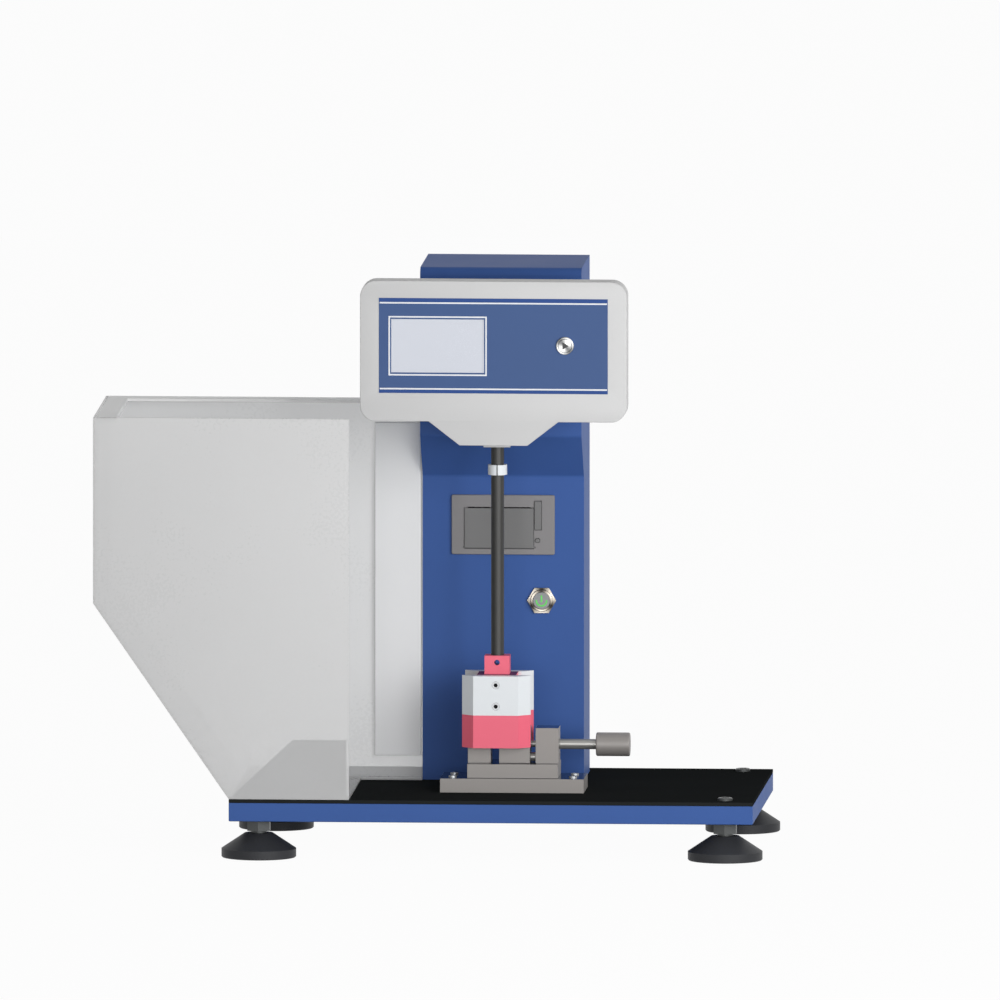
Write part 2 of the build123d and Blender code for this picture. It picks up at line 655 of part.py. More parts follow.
def lug_hole(y0, y1):
    return bar_y(y0, y1, 0, LUG_TOP - LUG_HOLE_DROP, LUG_HOLE_DIAMETER / 2)


def striker_seat():
    leg_face = STRUCK_FACE_X + NOSE_LENGTH
    return block(
        leg_face, leg_face + NOSE_SEAT, PENDULUM_Y - MOUTH_WIDTH / 2, PENDULUM_Y + MOUTH_WIDTH / 2,
        STRIKE_Z - NOSE_HEIGHT / 2, STRIKE_Z + NOSE_HEIGHT / 2,
    )


def striking_edge():
    """The hardened wedge with its rounded nose, let into the leg of the core."""
    leg_face = STRUCK_FACE_X + NOSE_LENGTH
    half = NOSE_HEIGHT / 2
    tip = STRUCK_FACE_X + NOSE_RADIUS
    wedge = outline(
        (tip, -NOSE_RADIUS), (leg_face, -half), (leg_face + NOSE_SEAT, -half),
        (leg_face + NOSE_SEAT, half), (leg_face, half), (tip, NOSE_RADIUS),
    )
    wedge += Pos(tip, 0) * Circle(NOSE_RADIUS)
    front = PENDULUM_Y - MOUTH_WIDTH / 2
    back = PENDULUM_Y + MOUTH_WIDTH / 2
    return Pos(0, 0, STRIKE_Z) * plate_y(wedge, front, back)


def hammer():
    """Core, the two weights screwed to it from front and back, and the striking edge."""
    core = hammer_core()
    front_weight = cheek(CHEEK_FRONT_Y, CORE_CHEEK_TOP, HAMMER_TOP)
    back_weight = cheek(CHEEK_BACK_Y, CORE_CHEEK_TOP, HAMMER_TOP)
    screws = []
    for row in range(2):
        z = HAMMER_TOP - HAMMER_SCREW_DROP - row * HAMMER_SCREW_SPACING
        for face, direction in ((CHEEK_FRONT_Y, 1), (CHEEK_BACK_Y + CHEEK_THICKNESS, -1)):
            screw, hole = sunk_screw_y(0, z, face, direction)
            screws.append(screw)
            core -= hole
            front_weight -= hole
            back_weight -= hole
    return {
        "hammer_core": core,
        "hammer_weights": Compound([front_weight, back_weight]),
        "hammer_screws": Compound(screws),
        "striking_edge": striking_edge(),
    }


def pendulum():
    """Everything that swings: hub, rings, angle disc, rod, collar and hammer."""
    rod_top = PIVOT_Z - HUB_ARM_REACH + ROD_SEAT
    rod_bottom = LUG_TOP - ROD_IN_LUG
    rod = bar_z(rod_bottom, rod_top, 0, PENDULUM_Y, ROD_DIAMETER / 2)
    rod -= lug_hole(PENDULUM_Y - LUG_DEPTH / 2, PENDULUM_Y + LUG_DEPTH / 2)
    collar_z = PIVOT_Z - COLLAR_RADIUS_FROM_PIVOT
    collar_low = collar_z - COLLAR_HEIGHT / 2
    collar_high = collar_z + COLLAR_HEIGHT / 2
    collar = bar_z(collar_low, collar_high, 0, PENDULUM_Y, COLLAR_DIAMETER / 2)
    collar -= bar_z(collar_low, collar_high, 0, PENDULUM_Y, ROD_DIAMETER / 2)
    collar -= block(
        -COLLAR_SLIT / 2, COLLAR_SLIT / 2, PENDULUM_Y - COLLAR_DIAMETER, PENDULUM_Y,
        collar_low, collar_high,
    )
    disc = tube_y(
        HUB_BACK_Y, HUB_BACK_Y + ANGLE_DISC_THICKNESS, 0, PIVOT_Z,
        ANGLE_DISC_DIAMETER / 2, BEARING_OUTER_DIAMETER / 2,
    )
    parts = {"pendulum_hub": pendulum_hub(), "bearing_outer_rings": bearing_rings()[1]}
    parts.update({"angle_disc": disc, "pendulum_rod": rod, "catch_collar": collar})
    parts.update(hammer())
    return parts


def spindle():
    """The fixed hollow spindle, its fasteners and the bearings' inner rings."""
    radius = SPINDLE_DIAMETER / 2
    shoulder = SPINDLE_SHOULDER_DIAMETER / 2
    flange_front = HEAD_FRONT_Y - SPINDLE_FLANGE_THICKNESS
    end = DISPLAY_BACK_Y - SPINDLE_END_LENGTH
    shaft = bar_y(flange_front, HEAD_FRONT_Y, 0, PIVOT_Z, SPINDLE_FLANGE_DIAMETER / 2)
    shaft += bar_y(REAR_BEARING_Y, flange_front, 0, PIVOT_Z, shoulder)
    shaft += bar_y(DISPLAY_BACK_Y, REAR_BEARING_Y, 0, PIVOT_Z, radius)
    shaft += bar_y(end, DISPLAY_BACK_Y, 0, PIVOT_Z, SPINDLE_END_DIAMETER / 2)
    shaft -= bar_y(end, HEAD_FRONT_Y, 0, PIVOT_Z, SPINDLE_BORE / 2)

    lock_front = FRONT_BEARING_Y - LOCK_NUT_THICKNESS
    lock_nut = tube_y(lock_front, FRONT_BEARING_Y, 0, PIVOT_Z, LOCK_NUT_DIAMETER / 2, radius)
    clamp_back = DISPLAY_BACK_Y - DISPLAY_WALL
    clamp_front = clamp_back - LOCK_NUT_THICKNESS
    clamp_nut = hexagon_y(clamp_front, clamp_back, 0, PIVOT_Z, CLAMP_NUT_FLATS)
    clamp_nut -= bar_y(clamp_front, clamp_back, 0, PIVOT_Z, SPINDLE_END_DIAMETER / 2)

    screws = []
    head_front = flange_front - SPINDLE_SCREW_HEAD_HEIGHT
    key_end = head_front + SPINDLE_SCREW_KEY_DEPTH
    for (x, z), hole in zip(spindle_screw_places(), spindle_screw_holes(flange_front)):
        shaft -= hole
        screw = hole + bar_y(head_front, flange_front, x, z, SPINDLE_SCREW_HEAD / 2)
        screws.append(screw - hexagon_y(head_front, key_end, x, z, SPINDLE_SCREW_KEY))
    return {
        "hub_spindle": shaft,
        "spindle_fasteners": Compound([lock_nut, clamp_nut, *screws]),
        "bearing_inner_rings": bearing_rings()[0],
        "pivot_backing_plate": backing_plate(),
    }


def spindle_screw_places():
    places = []
    for corner in range(4):
        angle = math.radians(45 + 90 * corner)
        x = SPINDLE_BOLT_CIRCLE / 2 * math.cos(angle)
        places.append((x, PIVOT_Z + SPINDLE_BOLT_CIRCLE / 2 * math.sin(angle)))
    return places


def spindle_screw_holes(y0):
    """Holes for the spindle's screws, from y0 to the back of the backing plate."""
    end = HEAD_FRONT_Y + SHEET + BACKING_PLATE_THICKNESS
    return [bar_y(y0, end, x, z, SPINDLE_SCREW_DIAMETER / 2) for x, z in spindle_screw_places()]


def backing_plate():
    """The thick plate inside the head that the spindle's screws pull on."""
    front = HEAD_FRONT_Y + SHEET
    back = front + BACKING_PLATE_THICKNESS
    half_width = BACKING_PLATE_WIDTH / 2
    half_height = BACKING_PLATE_HEIGHT / 2
    plate = block(-half_width, half_width, front, back, PIVOT_Z - half_height, PIVOT_Z + half_height)
    plate -= bar_y(front, back, 0, PIVOT_Z, SPINDLE_BORE / 2)
    for hole in spindle_screw_holes(front):
        plate -= hole
    return plate


def plunger_place():
    """Where the plunger stops the collar when the pendulum hangs at the release angle."""
    angle = math.radians(RELEASE_ANGLE)
    offset = COLLAR_DIAMETER / 2 + PLUNGER_DIAMETER / 2 + PLUNGER_GAP
    x = COLLAR_RADIUS_FROM_PIVOT * math.sin(angle) - offset * math.cos(angle)
    z = PIVOT_Z - COLLAR_RADIUS_FROM_PIVOT * math.cos(angle) - offset * math.sin(angle)
    return x, z


def release():
    """The solenoid behind the head's front with its guide tube, and the plunger."""
    x, z = plunger_place()
    collar_back = PENDULUM_Y + COLLAR_DIAMETER / 2
    tip = collar_back + PLUNGER_REST_GAP
    tube_front = tip + SOLENOID_TUBE_SETBACK
    inner_face = HEAD_FRONT_Y + SHEET
    coil_back = inner_face + SOLENOID_LENGTH
    coil = bar_y(inner_face, coil_back, x, z, SOLENOID_DIAMETER / 2)
    coil += bar_y(tube_front, inner_face, x, z, SOLENOID_TUBE_DIAMETER / 2)
    bore = PLUNGER_DIAMETER / 2 + RUNNING_CLEARANCE
    plunger_back = tip + PLUNGER_TRAVEL + PLUNGER_TAIL
    coil -= bar_y(tube_front, plunger_back + BODY_CLEARANCE, x, z, bore)
    plunger = bar_y(tip, plunger_back, x, z, PLUNGER_DIAMETER / 2)
    plunger = chamfer(plunger.edges().group_by(Axis.Y)[0], PLUNGER_CHAMFER)
    return {"release_solenoid": coil, "release_plunger": plunger}


def angle_reader():
    """A slotted sensor on the head's front that the angle disc turns through."""
    disc_edge = PIVOT_Z + ANGLE_DISC_DIAMETER / 2
    low = disc_edge - READER_OVERLAP
    high = disc_edge + READER_HEIGHT - READER_OVERLAP
    slot_middle = HUB_BACK_Y + ANGLE_DISC_THICKNESS / 2
    front = slot_middle - READER_SLOT / 2 - READER_ARM
    reader = block(-READER_WIDTH / 2, READER_WIDTH / 2, front, HEAD_FRONT_Y, low, high)
    return reader - block(
        -READER_WIDTH / 2, READER_WIDTH / 2, slot_middle - READER_SLOT / 2,
        slot_middle + READER_SLOT / 2, low, disc_edge + READER_SLOT_ROOM,
    )


def cabinet_profile():
    """The cabinet from the side, as a sketch in Y and Z."""
    chin_bottom = PIVOT_Z - HEAD_CHIN_BELOW_PIVOT - HEAD_CHIN_RISE
    chin_top = PIVOT_Z - HEAD_CHIN_BELOW_PIVOT
    profile = outline(
        (COLUMN_FRONT_Y, BASE_TOP), (COLUMN_FRONT_Y, chin_bottom), (HEAD_FRONT_Y, chin_top),
        (HEAD_FRONT_Y, HEAD_TOP), (CABINET_BACK_Y, HEAD_TOP), (CABINET_BACK_Y, BASE_TOP),
    )
    front = profile.vertices().group_by(Axis.X)[0].sort_by(Axis.Y)
    bend = profile.vertices().group_by(Axis.X)[1].sort_by(Axis.Y)[-1]
    profile = fillet(front[-1], HEAD_BEND_RADIUS)
    profile = fillet(profile.vertices().filter_by(lambda v: near(v, front[0])), CHIN_BEND_RADIUS)
    return fillet(profile.vertices().filter_by(lambda v: near(v, bend)), CHIN_BEND_RADIUS)


def near(a, b):
    return abs(a.X - b.X) + abs(a.Y - b.Y) < SHEET / 2


def cabinet():
    """The folded shell with its cut-outs, the back cover and the cover's screws."""
    half = CABINET_WIDTH / 2
    profile = cabinet_profile()
    pocket = CABINET_BACK_Y - SHEET
    flange_front = pocket - SHEET
    shell = plate_x(profile, -half, half)
    inside = plate_x(offset(profile, -SHEET), SHEET - half, half - SHEET)
    shell -= inside & block(
        -half, half, HEAD_FRONT_Y, flange_front, BASE_TOP, HEAD_TOP
    )
    low = BASE_TOP + SHEET
    high = HEAD_TOP - SHEET
    shell -= block(SHEET - half, half - SHEET, pocket, CABINET_BACK_Y, low, high)
    opening = half - SHEET - BACK_FLANGE
    shell -= block(
        -opening, opening, flange_front, pocket, low + BACK_FLANGE, high - BACK_FLANGE
    )
    for cut in cabinet_cuts():
        shell -= cut

    cover_half = half - SHEET - COVER_GAP
    cover = block(
        -cover_half, cover_half, pocket, CABINET_BACK_Y, low + COVER_GAP, high - COVER_GAP
    )
    for vent in range(VENT_COUNT):
        z = HEAD_TOP - VENT_DROP - vent * VENT_PITCH
        slot = SlotOverall(VENT_LENGTH, VENT_WIDTH)
        cover -= Pos(0, 0, z) * plate_y(slot, pocket, CABINET_BACK_Y)
    cover -= inlet_body(pocket)

    screws = []
    pitch = (high - low - 2 * BACK_FLANGE) / (COVER_SCREW_ROWS - 1)
    for side in (-1, 1):
        x = side * (opening + BACK_FLANGE / 2)
        for row in range(COVER_SCREW_ROWS):
            z = low + BACK_FLANGE + row * pitch
            shank = bar_y(flange_front, CABINET_BACK_Y, x, z, COVER_SCREW_DIAMETER / 2)
            head_back = CABINET_BACK_Y + COVER_SCREW_HEAD_HEIGHT
            head = bar_y(CABINET_BACK_Y, head_back, x, z, COVER_SCREW_HEAD / 2)
            head = chamfer(head.edges().group_by(Axis.Y)[-1], COVER_SCREW_HEAD_EDGE)
            key = hexagon_y(head_back - COVER_SCREW_KEY_DEPTH, head_back, x, z, COVER_SCREW_KEY)
            cover -= shank
            shell -= shank
            screws.append(shank + head - key)
    return {
        "cabinet_shell": shell,
        "cabinet_back_cover": cover,
        "back_cover_screws": Compound(screws),
    }


def cabinet_cuts():
    """Cut-outs in the cabinet's front for spindle, release, printer and power button."""
    cuts = spindle_screw_holes(HEAD_FRONT_Y)
    head_inner = HEAD_FRONT_Y + SHEET
    column_inner = COLUMN_FRONT_Y + SHEET
    cuts.append(bar_y(HEAD_FRONT_Y, head_inner, 0, PIVOT_Z, SPINDLE_BORE / 2))
    x, z = plunger_place()
    tube = SOLENOID_TUBE_DIAMETER / 2
    cuts.append(bar_y(HEAD_FRONT_Y, head_inner, x, z, tube))
    power_z = BASE_TOP + POWER_BUTTON_ABOVE_BASE
    cuts.append(
        bar_y(COLUMN_FRONT_Y, column_inner, POWER_BUTTON_X, power_z, POWER_THREAD_DIAMETER / 2)
    )
    cuts.append(printer_body(COLUMN_FRONT_Y, column_inner))
    return cuts


def inlet_body(y0):
    half = SOCKET_WIDTH / 2 + INLET_WALL
    half_height = SOCKET_HEIGHT / 2 + INLET_WALL
    z = BASE_TOP + INLET_ABOVE_BASE
    return block(-half, half, y0, CABINET_BACK_Y, z - half_height, z + half_height)


def supply_and_inlet():
    """The mains inlet in the back cover and the power supply on the cabinet's floor."""
    z = BASE_TOP + INLET_ABOVE_BASE
    flange_back = CABINET_BACK_Y + INLET_FLANGE
    inlet = inlet_body(CABINET_BACK_Y - INLET_DEPTH)
    flange = Pos(0, z) * RectangleRounded(INLET_WIDTH, INLET_HEIGHT, INLET_CORNER)
    inlet += plate_y(flange, CABINET_BACK_Y, flange_back)
    socket_end = flange_back - SOCKET_DEPTH
    recess = Pos(0, z) * RectangleRounded(SOCKET_WIDTH, SOCKET_HEIGHT, SOCKET_CORNER)
    inlet -= plate_y(recess, socket_end, flange_back)
    pin_rows = ((-1, -1), (0, 1), (1, -1))
    for column, row in pin_rows:
        x = column * SOCKET_PIN_SPACING
        pin_z = z + row * SOCKET_PIN_WIDTH / 2
        inlet += block(
            x - SOCKET_PIN_THICKNESS / 2, x + SOCKET_PIN_THICKNESS / 2,
            socket_end, socket_end + SOCKET_PIN_LENGTH,
            pin_z - SOCKET_PIN_WIDTH / 2, pin_z + SOCKET_PIN_WIDTH / 2,
        )
    front = COLUMN_FRONT_Y + SUPPLY_FROM_FRONT
    floor = BASE_TOP + SHEET
    supply = block(
        -SUPPLY_WIDTH / 2, SUPPLY_WIDTH / 2, front, front + SUPPLY_DEPTH,
        floor, floor + SUPPLY_HEIGHT,
    )
    return {"power_inlet": inlet, "power_supply": supply}


def display_sketch():
    """The display unit from the front: a rounded rectangle with a skirt below it."""
    middle = DISPLAY_TOP - DISPLAY_HEIGHT / 2
    sketch = Pos(0, middle) * RectangleRounded(DISPLAY_WIDTH, DISPLAY_HEIGHT, DISPLAY_CORNER)
    half_top = SKIRT_TOP_WIDTH / 2
    half_bottom = SKIRT_BOTTOM_WIDTH / 2
    return sketch + outline(
        (-half_bottom, DISPLAY_BOTTOM - SKIRT_DROP), (half_bottom, DISPLAY_BOTTOM - SKIRT_DROP),
        (half_top, DISPLAY_BOTTOM), (half_top, middle), (-half_top, middle),
        (-half_top, DISPLAY_BOTTOM),
    )


def display():
    """Front plate, rear case, screen and control board of the display unit."""
    sketch = display_sketch()
    plate_back = DISPLAY_FRONT_Y + DISPLAY_PLATE_THICKNESS
    window_z = PIVOT_Z + WINDOW_CENTRE_ABOVE_PIVOT
    window = Pos(WINDOW_CENTRE_X, window_z) * Rectangle(WINDOW_WIDTH, WINDOW_HEIGHT)
    front = plate_y(sketch, DISPLAY_FRONT_Y, plate_back)
    front = fillet(front.edges().group_by(Axis.Y)[0], DISPLAY_EDGE_RADIUS)
    front -= plate_y(window, DISPLAY_FRONT_Y, plate_back)
    button_z = PIVOT_Z + IMPACT_BUTTON_ABOVE_PIVOT
    front -= bar_y(
        DISPLAY_FRONT_Y, plate_back, IMPACT_BUTTON_X, button_z, IMPACT_THREAD_DIAMETER / 2
    )

    wall_front = DISPLAY_BACK_Y - DISPLAY_WALL
    case = plate_y(sketch, plate_back, DISPLAY_BACK_Y)
    case = fillet(case.edges().group_by(Axis.Y)[-1], DISPLAY_EDGE_RADIUS)
    case -= plate_y(offset(sketch, -DISPLAY_WALL), plate_back, wall_front)
    case -= bar_y(wall_front, DISPLAY_BACK_Y, 0, PIVOT_Z, SPINDLE_END_DIAMETER / 2)

    screen_back = plate_back + SCREEN_DEPTH
    screen_sketch = Pos(WINDOW_CENTRE_X, window_z) * Rectangle(SCREEN_WIDTH, SCREEN_HEIGHT)
    screen = plate_y(screen_sketch, plate_back, screen_back)
    screen += plate_y(window, DISPLAY_FRONT_Y + SCREEN_RECESS, plate_back)

    board_front = screen_back + BOARD_GAP
    board_right = IMPACT_BUTTON_X - IMPACT_THREAD_DIAMETER / 2 - BOARD_GAP
    board = block(
        board_right - BOARD_WIDTH, board_right, board_front, board_front + BOARD_THICKNESS,
        window_z - BOARD_HEIGHT / 2, window_z + BOARD_HEIGHT / 2,
    )
    return {
        "display_front_plate": front,
        "display_rear_case": case,
        "screen_module": screen,
        "control_board": board,
    }


def push_button(x, z, seat, ring, cap, thread, stem, length):
    """A panel push button: the housing with its ring, and the cap that moves in it."""
    face = seat - BUTTON_RING_THICKNESS
    cap_back = face + BUTTON_CAP_THICKNESS
    stem_end = seat + length - BUTTON_TRAVEL - BUTTON_FLOOR
    housing = bar_y(face, seat, x, z, ring / 2)
    housing = chamfer(housing.edges().group_by(Axis.Y)[0], BUTTON_RING_CHAMFER)
    housing += bar_y(seat, seat + length, x, z, thread / 2)
    well_end = cap_back + BUTTON_TRAVEL + BUTTON_GAP
    housing -= bar_y(face, well_end, x, z, cap / 2 + BUTTON_GAP)
    bore_end = stem_end + BUTTON_TRAVEL + BUTTON_GAP
    housing -= bar_y(well_end, bore_end, x, z, stem / 2 + RUNNING_CLEARANCE)
    moving = bar_y(face, cap_back, x, z, cap / 2)
    moving = chamfer(moving.edges().group_by(Axis.Y)[0], BUTTON_GAP)
    moving += bar_y(cap_back, stem_end, x, z, stem / 2)
    return housing, moving


def buttons():
    """The impact button in the display plate and the power button in the column."""
    impact_housing, impact_cap = push_button(
        IMPACT_BUTTON_X, PIVOT_Z + IMPACT_BUTTON_ABOVE_PIVOT, DISPLAY_FRONT_Y,
        IMPACT_RING_DIAMETER, IMPACT_CAP_DIAMETER, IMPACT_THREAD_DIAMETER,
        IMPACT_STEM_DIAMETER, IMPACT_BODY_LENGTH,
    )
    seat = COLUMN_FRONT_Y - POWER_NUT_THICKNESS
    z = BASE_TOP + POWER_BUTTON_ABOVE_BASE
    power_housing, power_cap = push_button(
        POWER_BUTTON_X, z, seat, POWER_RING_DIAMETER, POWER_CAP_DIAMETER,
        POWER_THREAD_DIAMETER, POWER_STEM_DIAMETER, POWER_BODY_LENGTH,
    )
    hexagon = RegularPolygon(POWER_NUT_FLATS / 2, 6, major_radius=False)
    nut = Pos(POWER_BUTTON_X, z) * hexagon
    nut -= Pos(POWER_BUTTON_X, z) * Circle(POWER_THREAD_DIAMETER / 2)
    power_housing += plate_y(nut, seat, COLUMN_FRONT_Y)
    return {
        "impact_button_housing": impact_housing,
        "impact_button_cap": impact_cap,
        "power_button_housing": power_housing,
        "power_button_cap": power_cap,
    }


def printer_body(y0, y1):
    half = PRINTER_BODY_WIDTH / 2
    middle = BASE_TOP + PRINTER_CENTRE_ABOVE_BASE
    return block(
        -half, half, y0, y1, middle - PRINTER_BODY_HEIGHT / 2, middle + PRINTER_BODY_HEIGHT / 2
    )


def printer():
    """Frame and body, door with its platen, latch, feed button and the paper roll."""
    middle = BASE_TOP + PRINTER_CENTRE_ABOVE_BASE
    bezel_front = COLUMN_FRONT_Y - PRINTER_BEZEL_THICKNESS
    body_back = COLUMN_FRONT_Y + PRINTER_BODY_DEPTH
    inner_back = body_back - PRINTER_WALL
    bezel = Pos(0, middle) * RectangleRounded(
        PRINTER_WIDTH, PRINTER_HEIGHT, PRINTER_BEZEL_CORNER
    )
    housing = plate_y(bezel, bezel_front, COLUMN_FRONT_Y)
    housing = chamfer(housing.edges().group_by(Axis.Y)[0], PRINTER_BEZEL_CHAMFER)
    housing += printer_body(COLUMN_FRONT_Y, body_back)

    left = -PRINTER_FACE_WIDTH / 2
    door_right = left + PRINTER_DOOR_WIDTH
    face_bottom = middle - PRINTER_FACE_HEIGHT / 2
    door_top = face_bottom + PRINTER_DOOR_HEIGHT
    gap = PRINTER_DOOR_GAP
    door_front = bezel_front - PRINTER_DOOR_PROUD
    door_back = door_front + PRINTER_DOOR_THICKNESS
    well_back = door_back + gap
    housing -= block(
        left - gap, door_right + gap, bezel_front, well_back,
        face_bottom - gap, door_top + PRINTER_SLOT,
    )
    bucket_left = left + PRINTER_SIDE_WALL
    bucket_right = door_right - PRINTER_SIDE_WALL
    bottom = face_bottom + PRINTER_DOOR_THICKNESS + gap
    top = middle + PRINTER_BODY_HEIGHT / 2 - PRINTER_WALL
    slot_top = door_top + PRINTER_SLOT
    housing -= block(bucket_left, bucket_right, well_back, COLUMN_FRONT_Y, bottom, slot_top)
    housing -= block(bucket_left, bucket_right, COLUMN_FRONT_Y, inner_back, bottom, top)
    half_inner = PRINTER_BODY_WIDTH / 2 - PRINTER_WALL
    side_front = COLUMN_FRONT_Y + PRINTER_FRONT_WALL
    low = middle - PRINTER_BODY_HEIGHT / 2 + PRINTER_WALL
    housing -= block(
        -half_inner, bucket_left - PRINTER_WALL, side_front, inner_back, low, top
    )
    housing -= block(
        bucket_right + PRINTER_WALL, half_inner, side_front, inner_back, low, top
    )

    hinge_y = (door_front + door_back) / 2
    hinge_z = face_bottom + PRINTER_DOOR_THICKNESS / 2
    door = block(left, door_right, door_front, door_back, hinge_z, door_top)
    door += bar_x(left, door_right, hinge_y, hinge_z, PRINTER_DOOR_THICKNESS / 2)
    pin = PRINTER_HINGE_DIAMETER / 2
    pin_reach = PRINTER_HINGE_DIAMETER
    door += bar_x(left - pin_reach, door_right + pin_reach, hinge_y, hinge_z, pin)
    hinge_hole = bar_x(
        left - pin_reach - gap, door_right + pin_reach + gap, hinge_y, hinge_z,
        pin + RUNNING_CLEARANCE,
    )
    housing -= hinge_hole
    platen_y = door_back + PLATEN_BEHIND_DOOR
    platen_z = door_top - PLATEN_DROP
    platen_middle = (left + door_right) / 2
    platen_half = PLATEN_LENGTH / 2
    axle = PLATEN_AXLE_DIAMETER / 2
    arm_start = platen_half + gap
    for side in (-1, 1):
        ends = sorted((arm_start * side, (arm_start + PLATEN_ARM) * side))
        x0 = platen_middle + ends[0]
        x1 = platen_middle + ends[1]
        door += block(
            x0, x1, door_back, platen_y + PLATEN_DIAMETER / 2,
            platen_z - PLATEN_DIAMETER / 2, platen_z + PLATEN_DIAMETER / 2,
        )
        door -= bar_x(x0, x1, platen_y, platen_z, axle + RUNNING_CLEARANCE)
    platen = bar_x(
        platen_middle - platen_half, platen_middle + platen_half,
        platen_y, platen_z, PLATEN_DIAMETER / 2,
    )
    axle_reach = arm_start + PLATEN_ARM
    platen += bar_x(platen_middle - axle_reach, platen_middle + axle_reach, platen_y, platen_z, axle)

    latch_left = door_right + gap
    latch_right = PRINTER_FACE_WIDTH / 2
    latch_top = middle + PRINTER_FACE_HEIGHT / 2
    latch_bottom = latch_top - PRINTER_LATCH_HEIGHT
    key_back = door_front + PRINTER_KEY_THICKNESS
    latch = block(latch_left + gap, latch_right, door_front, key_back, latch_bottom, latch_top)
    latch = chamfer(latch.edges().group_by(Axis.Y)[0], gap)
    key_room = key_back + PRINTER_KEY_TRAVEL + gap
    housing -= block(
        latch_left, latch_right + gap, bezel_front, key_room, latch_bottom - gap, latch_top + gap
    )
    feed_x = (door_right + latch_right) / 2
    feed_z = middle - PRINTER_FEED_DROP
    feed = bar_y(door_front, key_back, feed_x, feed_z, PRINTER_FEED_DIAMETER / 2)
    feed = chamfer(feed.edges().group_by(Axis.Y)[0], gap)
    housing -= bar_y(bezel_front, key_room, feed_x, feed_z, PRINTER_FEED_DIAMETER / 2 + BUTTON_GAP)

    roll_y = inner_back - PAPER_ROLL_DIAMETER / 2 - PAPER_ROLL_GAP
    roll_z = bottom + PAPER_ROLL_DIAMETER / 2 + gap
    roll_left = platen_middle - PAPER_WIDTH / 2
    roll_right = platen_middle + PAPER_WIDTH / 2
    roll = bar_x(roll_left, roll_right, roll_y, roll_z, PAPER_ROLL_DIAMETER / 2)
    roll -= bar_x(roll_left, roll_right, roll_y, roll_z, PAPER_CORE_DIAMETER / 2)
    return {
        "printer_housing": housing,
        "printer_door": door,
        "platen_roller": platen,
        "printer_latch": latch,
        "feed_button": feed,
        "paper_roll": roll,
    }


def guard_outline():
    """The guard from the front."""
    return outline(
        (GUARD_LEFT, GUARD_TOP), (GUARD_LEFT, GUARD_SLOPE_TOP), (-BASE_WIDTH / 2, BASE_TOP),
        (GUARD_RIGHT, BASE_TOP), (GUARD_RIGHT, GUARD_TOP),
    )


def guard():
    """The clear box that catches the broken specimen and keeps hands off the swing."""
    panel = guard_outline()
    front_inner = GUARD_FRONT_Y + GUARD_SHEET
    back_inner = GUARD_BACK_Y - GUARD_SHEET
    column_side = -CABINET_WIDTH / 2
    front_panel = plate_y(panel, GUARD_FRONT_Y, front_inner)
    back_panel = plate_y(panel, back_inner, GUARD_BACK_Y)
    back_panel += block(
        GUARD_RIGHT, column_side, back_inner, GUARD_BACK_Y, BASE_TOP, GUARD_TOP
    )
    back_panel += block(
        GUARD_RIGHT, column_side, back_inner - GUARD_FOOT_DEPTH, back_inner,
        BASE_TOP, BASE_TOP + GUARD_SHEET,
    )

    inner = offset(panel, -GUARD_SHEET, kind=Kind.INTERSECTION)
    wall_inner = GUARD_LEFT + GUARD_SHEET
    floor_top = BASE_TOP + GUARD_SHEET
    open_sides = outline(
        (wall_inner, GUARD_TOP), (wall_inner, GUARD_TOP - GUARD_SHEET),
        (GUARD_RIGHT - GUARD_SHEET, GUARD_TOP - GUARD_SHEET), (GUARD_RIGHT - GUARD_SHEET, floor_top),
        (GUARD_RIGHT, floor_top), (GUARD_RIGHT, GUARD_TOP),
    )
    side = plate_y(panel - inner - open_sides, front_inner, back_inner)
    for x, y in foot_places().values():
        side -= bar_z(BASE_TOP, floor_top, x, y, STUD_DIAMETER / 2 + GUARD_STUD_ROOM)

    rim_low = GUARD_TOP - GUARD_SHEET
    rim = block(wall_inner, wall_inner + GUARD_RIM, front_inner, back_inner, rim_low, GUARD_TOP)
    rim += block(wall_inner, column_side, back_inner - GUARD_RIM, back_inner, rim_low, GUARD_TOP)

    gusset_right = GUARD_RIGHT - GUARD_SHEET
    gusset_top = floor_top + GUSSET_HEIGHT
    gusset = outline(
        (GUSSET_INSET - BASE_WIDTH / 2, floor_top), (gusset_right, floor_top),
        (gusset_right, gusset_top), (gusset_right - GUSSET_TOP_LENGTH, gusset_top),
    )
    bar_right = column_side - BAR_FROM_COLUMN
    bar = block(
        bar_right - BAR_WIDTH, bar_right, back_inner - BAR_THICKNESS, back_inner,
        BASE_TOP + BAR_FOOT_GAP, GUARD_TOP - BAR_TOP_GAP,
    )
    return {
        "guard_front_panel": front_panel,
        "guard_back_panel": back_panel,
        "guard_side_sheet": side,
        "guard_top_rim": rim,
        "guard_gusset": plate_y(gusset, front_inner, front_inner + GUARD_SHEET),
        "guard_mounting_bar": bar,
    }


groups = (
    base, feet, vise, moving_jaw, clamp_screw, pendulum, spindle, release, cabinet,
    supply_and_inlet, display, buttons, printer, guard,
)
os.makedirs("parts", exist_ok=True)
nodes = {"angle_reader": angle_reader()}
for group in groups:
    nodes.update(group())
for name, shape in nodes.items():
    export_step(Pos(-CENTRE_X, 0, 0) * shape, "parts/" + name + ".step")
